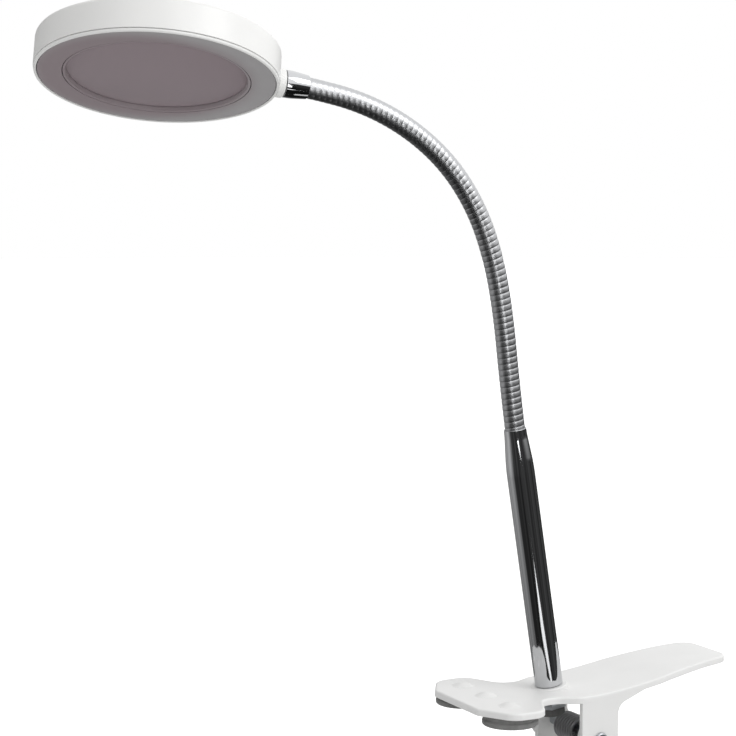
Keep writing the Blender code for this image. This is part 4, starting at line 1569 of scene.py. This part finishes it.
    def cover(self) -> None:
        """Builds the lens cover with its finger notch and hinge barrel, and the hinge pin."""
        hinge = self.hinge()
        top = self.hinge_radius
        low = top - self.cover_thickness
        r = self.cover_radius
        disc = [
            (0.0, top, 0.0), (r, top, EDGE_FULL), (r, low, EDGE_SOFT), (0.0, low, 0.0),
        ]
        centre = hinge @ Matrix.Translation((self.hinge_setback, 0, 0))
        lid = Former().turned(disc, centre, 144).piece("cover_lid", WHITE_ABS)
        reach = self.hinge_setback - sqrt(r**2 - self.hinge_half**2) + 0.006
        tab = Former().block(
            (0.0, -self.hinge_half, low + 0.00002), (reach, self.hinge_half, top - 0.00002), hinge
        )
        lay = hinge @ Matrix.Rotation(pi / 2, 4, "X")
        barrel = Former().turned(
            [(0.0, self.hinge_half, 0.0), (self.hinge_radius, self.hinge_half, EDGE_SMALL),
             (self.hinge_radius, -self.hinge_half, EDGE_SMALL),
             (0.0, -self.hinge_half, 0.0)], lay, 32,
        )
        wide = self.hinge_half * 2
        hole = self.hinge_pin_radius + 0.0002
        bore = Former().turned(
            [(0.0, wide, 0.0), (hole, wide, 0.0), (hole, -wide, 0.0), (0.0, -wide, 0.0)], lay, 24
        )
        notch = Former().turned(
            [(0.0, top + 0.002, 0.0), (0.0115, top + 0.002, 0.0), (0.009, low + 0.0008, 0.0),
             (0.009, low - 0.001, 0.0), (0.0, low - 0.001, 0.0)],
            centre @ Matrix.Translation((r + 0.0062, 0, 0)), 64,
        )
        combine(
            lid,
            [(tool(tab, "cover_tab"), "UNION"), (tool(barrel, "cover_barrel"), "UNION"),
             (tool(bore, "cover_bore"), "DIFFERENCE"), (tool(notch, "cover_notch"), "DIFFERENCE")],
        )
        settle_on(weighted(lid), "cover", "lens_cover")
        tip = self.hinge_half + self.knuckle - 0.0015
        pin = Former().turned(
            [(0.0, tip, 0.0), (self.hinge_pin_radius, tip, EDGE_SMALL),
             (self.hinge_pin_radius, -tip, EDGE_SMALL), (0.0, -tip, 0.0)], lay, 24,
        )
        settle_on(
            weighted(pin.piece("hinge_pin_steel", ZINC_STEEL)), "magnifier_head", "cover_hinge_pin"
        )


# ---------------------------------------------------------------- stage
@dataclass
class Studio:
    """The camera, the pale floor and the soft light."""

    eye: tuple[float, float, float] = (-0.55506, -0.94877, 0.28374)
    yaw: float = radians(-27.288)
    pitch: float = radians(5.866)
    focal_length: float = 111.18
    floor_height: float = -0.1
    floor_radius: float = 6.0

    def build(self) -> None:
        """Sets up the camera, the floor, the world and the lights."""
        self.camera()
        self.floor()
        self.world()
        self.lights()
        view = bpy.context.scene.view_settings
        view.view_transform = "Standard"
        view.look = "None"

    def camera(self) -> None:
        """Places the camera."""
        data = bpy.data.cameras.new("camera")
        data.lens = self.focal_length
        data.sensor_width = 36.0
        data.clip_start, data.clip_end = 0.05, 50.0
        camera = bpy.data.objects.new("camera", data)
        camera.location = self.eye
        camera.rotation_euler = (pi / 2 - self.pitch, 0, self.yaw)
        bpy.context.scene.collection.objects.link(camera)
        bpy.context.scene.camera = camera

    def floor(self) -> None:
        """Lays the pale floor, which the eye sees as bright as the backdrop."""
        made = Former()
        bmesh.ops.create_circle(
            made.bm, cap_ends=True, segments=96, radius=self.floor_radius,
            matrix=Matrix.Translation((0, 0, self.floor_height)),
        )
        mesh = bpy.data.meshes.new("floor")
        made.bm.to_mesh(mesh)
        made.bm.free()
        floor = bpy.data.objects.new("floor", mesh)
        bpy.context.scene.collection.objects.link(floor)
        paint = bpy.data.materials.new("pale_studio_floor")
        paint.use_nodes = True
        tree = paint.node_tree
        shader = tree.nodes["Principled BSDF"]
        shader.inputs["Base Color"].default_value = linear("#e2e2e2")
        shader.inputs["Roughness"].default_value = 0.9
        shader.inputs["Specular IOR Level"].default_value = 0.1
        shader.inputs["Emission Color"].default_value = (1, 1, 1, 1)
        seen = add_node(tree, "ShaderNodeLightPath")
        glow = add_node(
            tree, "ShaderNodeMath", {"operation": "MULTIPLY", 1: 0.6},
            {0: seen.outputs["Is Camera Ray"]},
        )
        tree.links.new(glow.outputs["Value"], shader.inputs["Emission Strength"])
        mesh.materials.append(paint)
        floor.visible_glossy = False

    def world(self) -> None:
        """Makes the backdrop: white to the eye, soft to plain faces, banded to plated ones."""
        world = bpy.data.worlds.new("studio")
        bpy.context.scene.world = world
        world.use_nodes = True
        tree = world.node_tree
        tree.nodes.clear()
        way = add_node(tree, "ShaderNodeTexCoord").outputs["Generated"]
        right = Vector((cos(self.yaw), sin(self.yaw), 0))
        back = Vector((sin(self.yaw), -cos(self.yaw), 0))
        up = Vector((0, 0, 1))
        lit = self.band(tree, way, right * 0.75 + up * 0.66, -0.95, 0.55, 0.24, 1.0)
        plain = add_node(
            tree, "ShaderNodeBackground", {"Color": linear("#fbfbfb")}, {"Strength": lit}
        )
        # What the plating mirrors: a dark room before and below it, grey to the left of it
        # and light to the right of it and above.
        room = self.band(tree, way, right * 0.8 + up * 0.6, -0.4, 0.5, 0.2, 1.2)
        left = self.band(tree, way, right * -0.84 - back * 0.54, 0.32, 0.55, 0.04, 0.36)
        clutter = add_node(
            tree, "ShaderNodeTexNoise", {"Scale": 3.5, "Detail": 3.0},
            {"Vector": add_node(
                tree, "ShaderNodeMapping", {"Scale": (1.0, 1.0, 0.15)}, {"Vector": way}
            ).outputs["Vector"]},
        )
        uneven = add_node(
            tree, "ShaderNodeMapRange",
            {"From Min": 0.35, "From Max": 0.65, "To Min": 0.55, "To Max": 1.9},
            {"Value": clutter.outputs["Fac"]},
        )
        left = add_node(
            tree, "ShaderNodeMath", {"operation": "MULTIPLY"}, {0: left, 1: uneven.outputs[0]}
        ).outputs[0]
        above = self.band(tree, way, up, 0.0, 0.14, 0.0, 1.0)
        under = self.band(tree, way, up, -0.5, -0.25, 0.3, 1.0)
        level = add_node(
            tree, "ShaderNodeMix", {"data_type": "FLOAT"}, {0: above, 2: left, 3: room}
        )
        mirrored = add_node(
            tree, "ShaderNodeMath", {"operation": "MULTIPLY"}, {0: level.outputs[0], 1: under}
        )
        bright = add_node(
            tree, "ShaderNodeBackground", {"Color": linear("#fbfbfb")},
            {"Strength": mirrored.outputs[0]},
        )
        white = add_node(tree, "ShaderNodeBackground", {"Color": (1, 1, 1, 1), "Strength": 1.0})
        ray = add_node(tree, "ShaderNodeLightPath")
        both = add_node(
            tree, "ShaderNodeMixShader", None,
            {0: ray.outputs["Is Glossy Ray"], 1: plain.outputs[0], 2: bright.outputs[0]},
        )
        mixed = add_node(
            tree, "ShaderNodeMixShader", None,
            {0: ray.outputs["Is Camera Ray"], 1: both.outputs[0], 2: white.outputs[0]},
        )
        add_node(tree, "ShaderNodeOutputWorld", None, {"Surface": mixed.outputs[0]})

    @staticmethod
    def band(
        tree: bpy.types.NodeTree, way: bpy.types.NodeSocket, axis: Vector, start: float,
        end: float, low: float, high: float,
    ) -> bpy.types.NodeSocket:
        """Shades the sky smoothly from one side to the other.

        Args:
            tree: The world's node tree.
            way: The direction looked in.
            axis: The direction the shade changes along.
            start: Where along the axis it starts to change.
            end: Where it ends.
            low: Its value before the start.
            high: Its value after the end.

        Returns:
            The shade.
        """
        side = add_node(
            tree, "ShaderNodeVectorMath",
            {"operation": "DOT_PRODUCT", 1: axis.normalized()}, {0: way},
        )
        level = add_node(
            tree, "ShaderNodeMapRange",
            {"interpolation_type": "SMOOTHSTEP", "From Min": start, "From Max": end,
             "To Min": low, "To Max": high},
            {"Value": side.outputs["Value"]},
        )
        return level.outputs["Result"]

    def lights(self) -> None:
        """Hangs the soft box and the strips of light that only the plating mirrors."""
        right = Vector((cos(self.yaw), sin(self.yaw), 0))
        back = Vector((sin(self.yaw), -cos(self.yaw), 0))
        middle = Vector((-0.02, 0.0, 0.17))
        self.soft_box(
            "key_box", middle + right * 0.9 + back * 0.5 + Vector((0, 0, 0.9)), middle, 0.7, 4.5
        )
        foot = Vector((0.03, 0, 0))
        low = [(-3.0, -0.14), (34.0, -0.14), (9.0, -0.07)]
        tall = [(3.0, 0.09), (15.0, 0.09), (15.0, 1.1), (3.0, 1.1)]
        for name, corners, glow in (("low_card", low, 1.1), ("strip_card", tall, 2.2)):
            spots = [
                foot + (back * cos(radians(a)) + right * sin(radians(a))) * 0.45 + Vector((0, 0, z))
                for a, z in corners
            ]
            self.card(name, spots, glow)

    @staticmethod
    def card(name: str, spots: Sequence[Vector], glow: float) -> None:
        """Hangs a glowing card that is seen in the plating only.

        Args:
            name: The card's name.
            spots: Its corners.
            glow: How bright it is.
        """
        shape = bmesh.new()
        shape.faces.new([shape.verts.new(spot) for spot in spots])
        mesh = bpy.data.meshes.new(name)
        shape.to_mesh(mesh)
        shape.free()
        paper = bpy.data.materials.new(f"{name}_paper")
        paper.use_nodes = True
        shader = paper.node_tree.nodes["Principled BSDF"]
        shader.inputs["Emission Color"].default_value = linear("#ffffff")
        shader.inputs["Emission Strength"].default_value = glow
        mesh.materials.append(paper)
        card = bpy.data.objects.new(name, mesh)
        bpy.context.scene.collection.objects.link(card)
        card.visible_camera = card.visible_diffuse = card.visible_shadow = False
        card.visible_transmission = card.visible_volume_scatter = False

    @staticmethod
    def soft_box(name: str, place: Vector, target: Vector, size: float, power: float) -> None:
        """Hangs one square soft box that faces a target.

        Args:
            name: The light's name.
            place: Where it hangs.
            target: What it faces.
            size: Its side in metres.
            power: Its power in watts.
        """
        data = bpy.data.lights.new(name, "AREA")
        data.size = size
        data.energy = power
        light = bpy.data.objects.new(name, data)
        light.location = place
        light.rotation_mode = "QUATERNION"
        light.rotation_quaternion = (target - place).to_track_quat("-Z", "Y")
        bpy.context.scene.collection.objects.link(light)


def dress_carried_nodes() -> None:
    """Gives the CAD nodes that stay in view a finish with its own detail."""
    for node in ("lead_in_tube", "lead_in_head"):
        mesh = frame["nodes"][node].data
        mesh.materials.clear()
        mesh.materials.append(CABLE.material())
        LOG.info("%s is dressed as %s", node, CABLE.name)


def main() -> None:
    """Builds the stage and every sub-assembly."""
    logging.basicConfig(level=logging.INFO, format="%(name)s: %(message)s")
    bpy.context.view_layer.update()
    Studio().build()
    frames = LampFrames()
    for kind in (SpringClip, ChromeTube, Gooseneck, MagnifierHead):
        kind(frames).build()
        LOG.info("%s is built", kind.__name__)
    dress_carried_nodes()


if __name__ == "__main__":
    main()
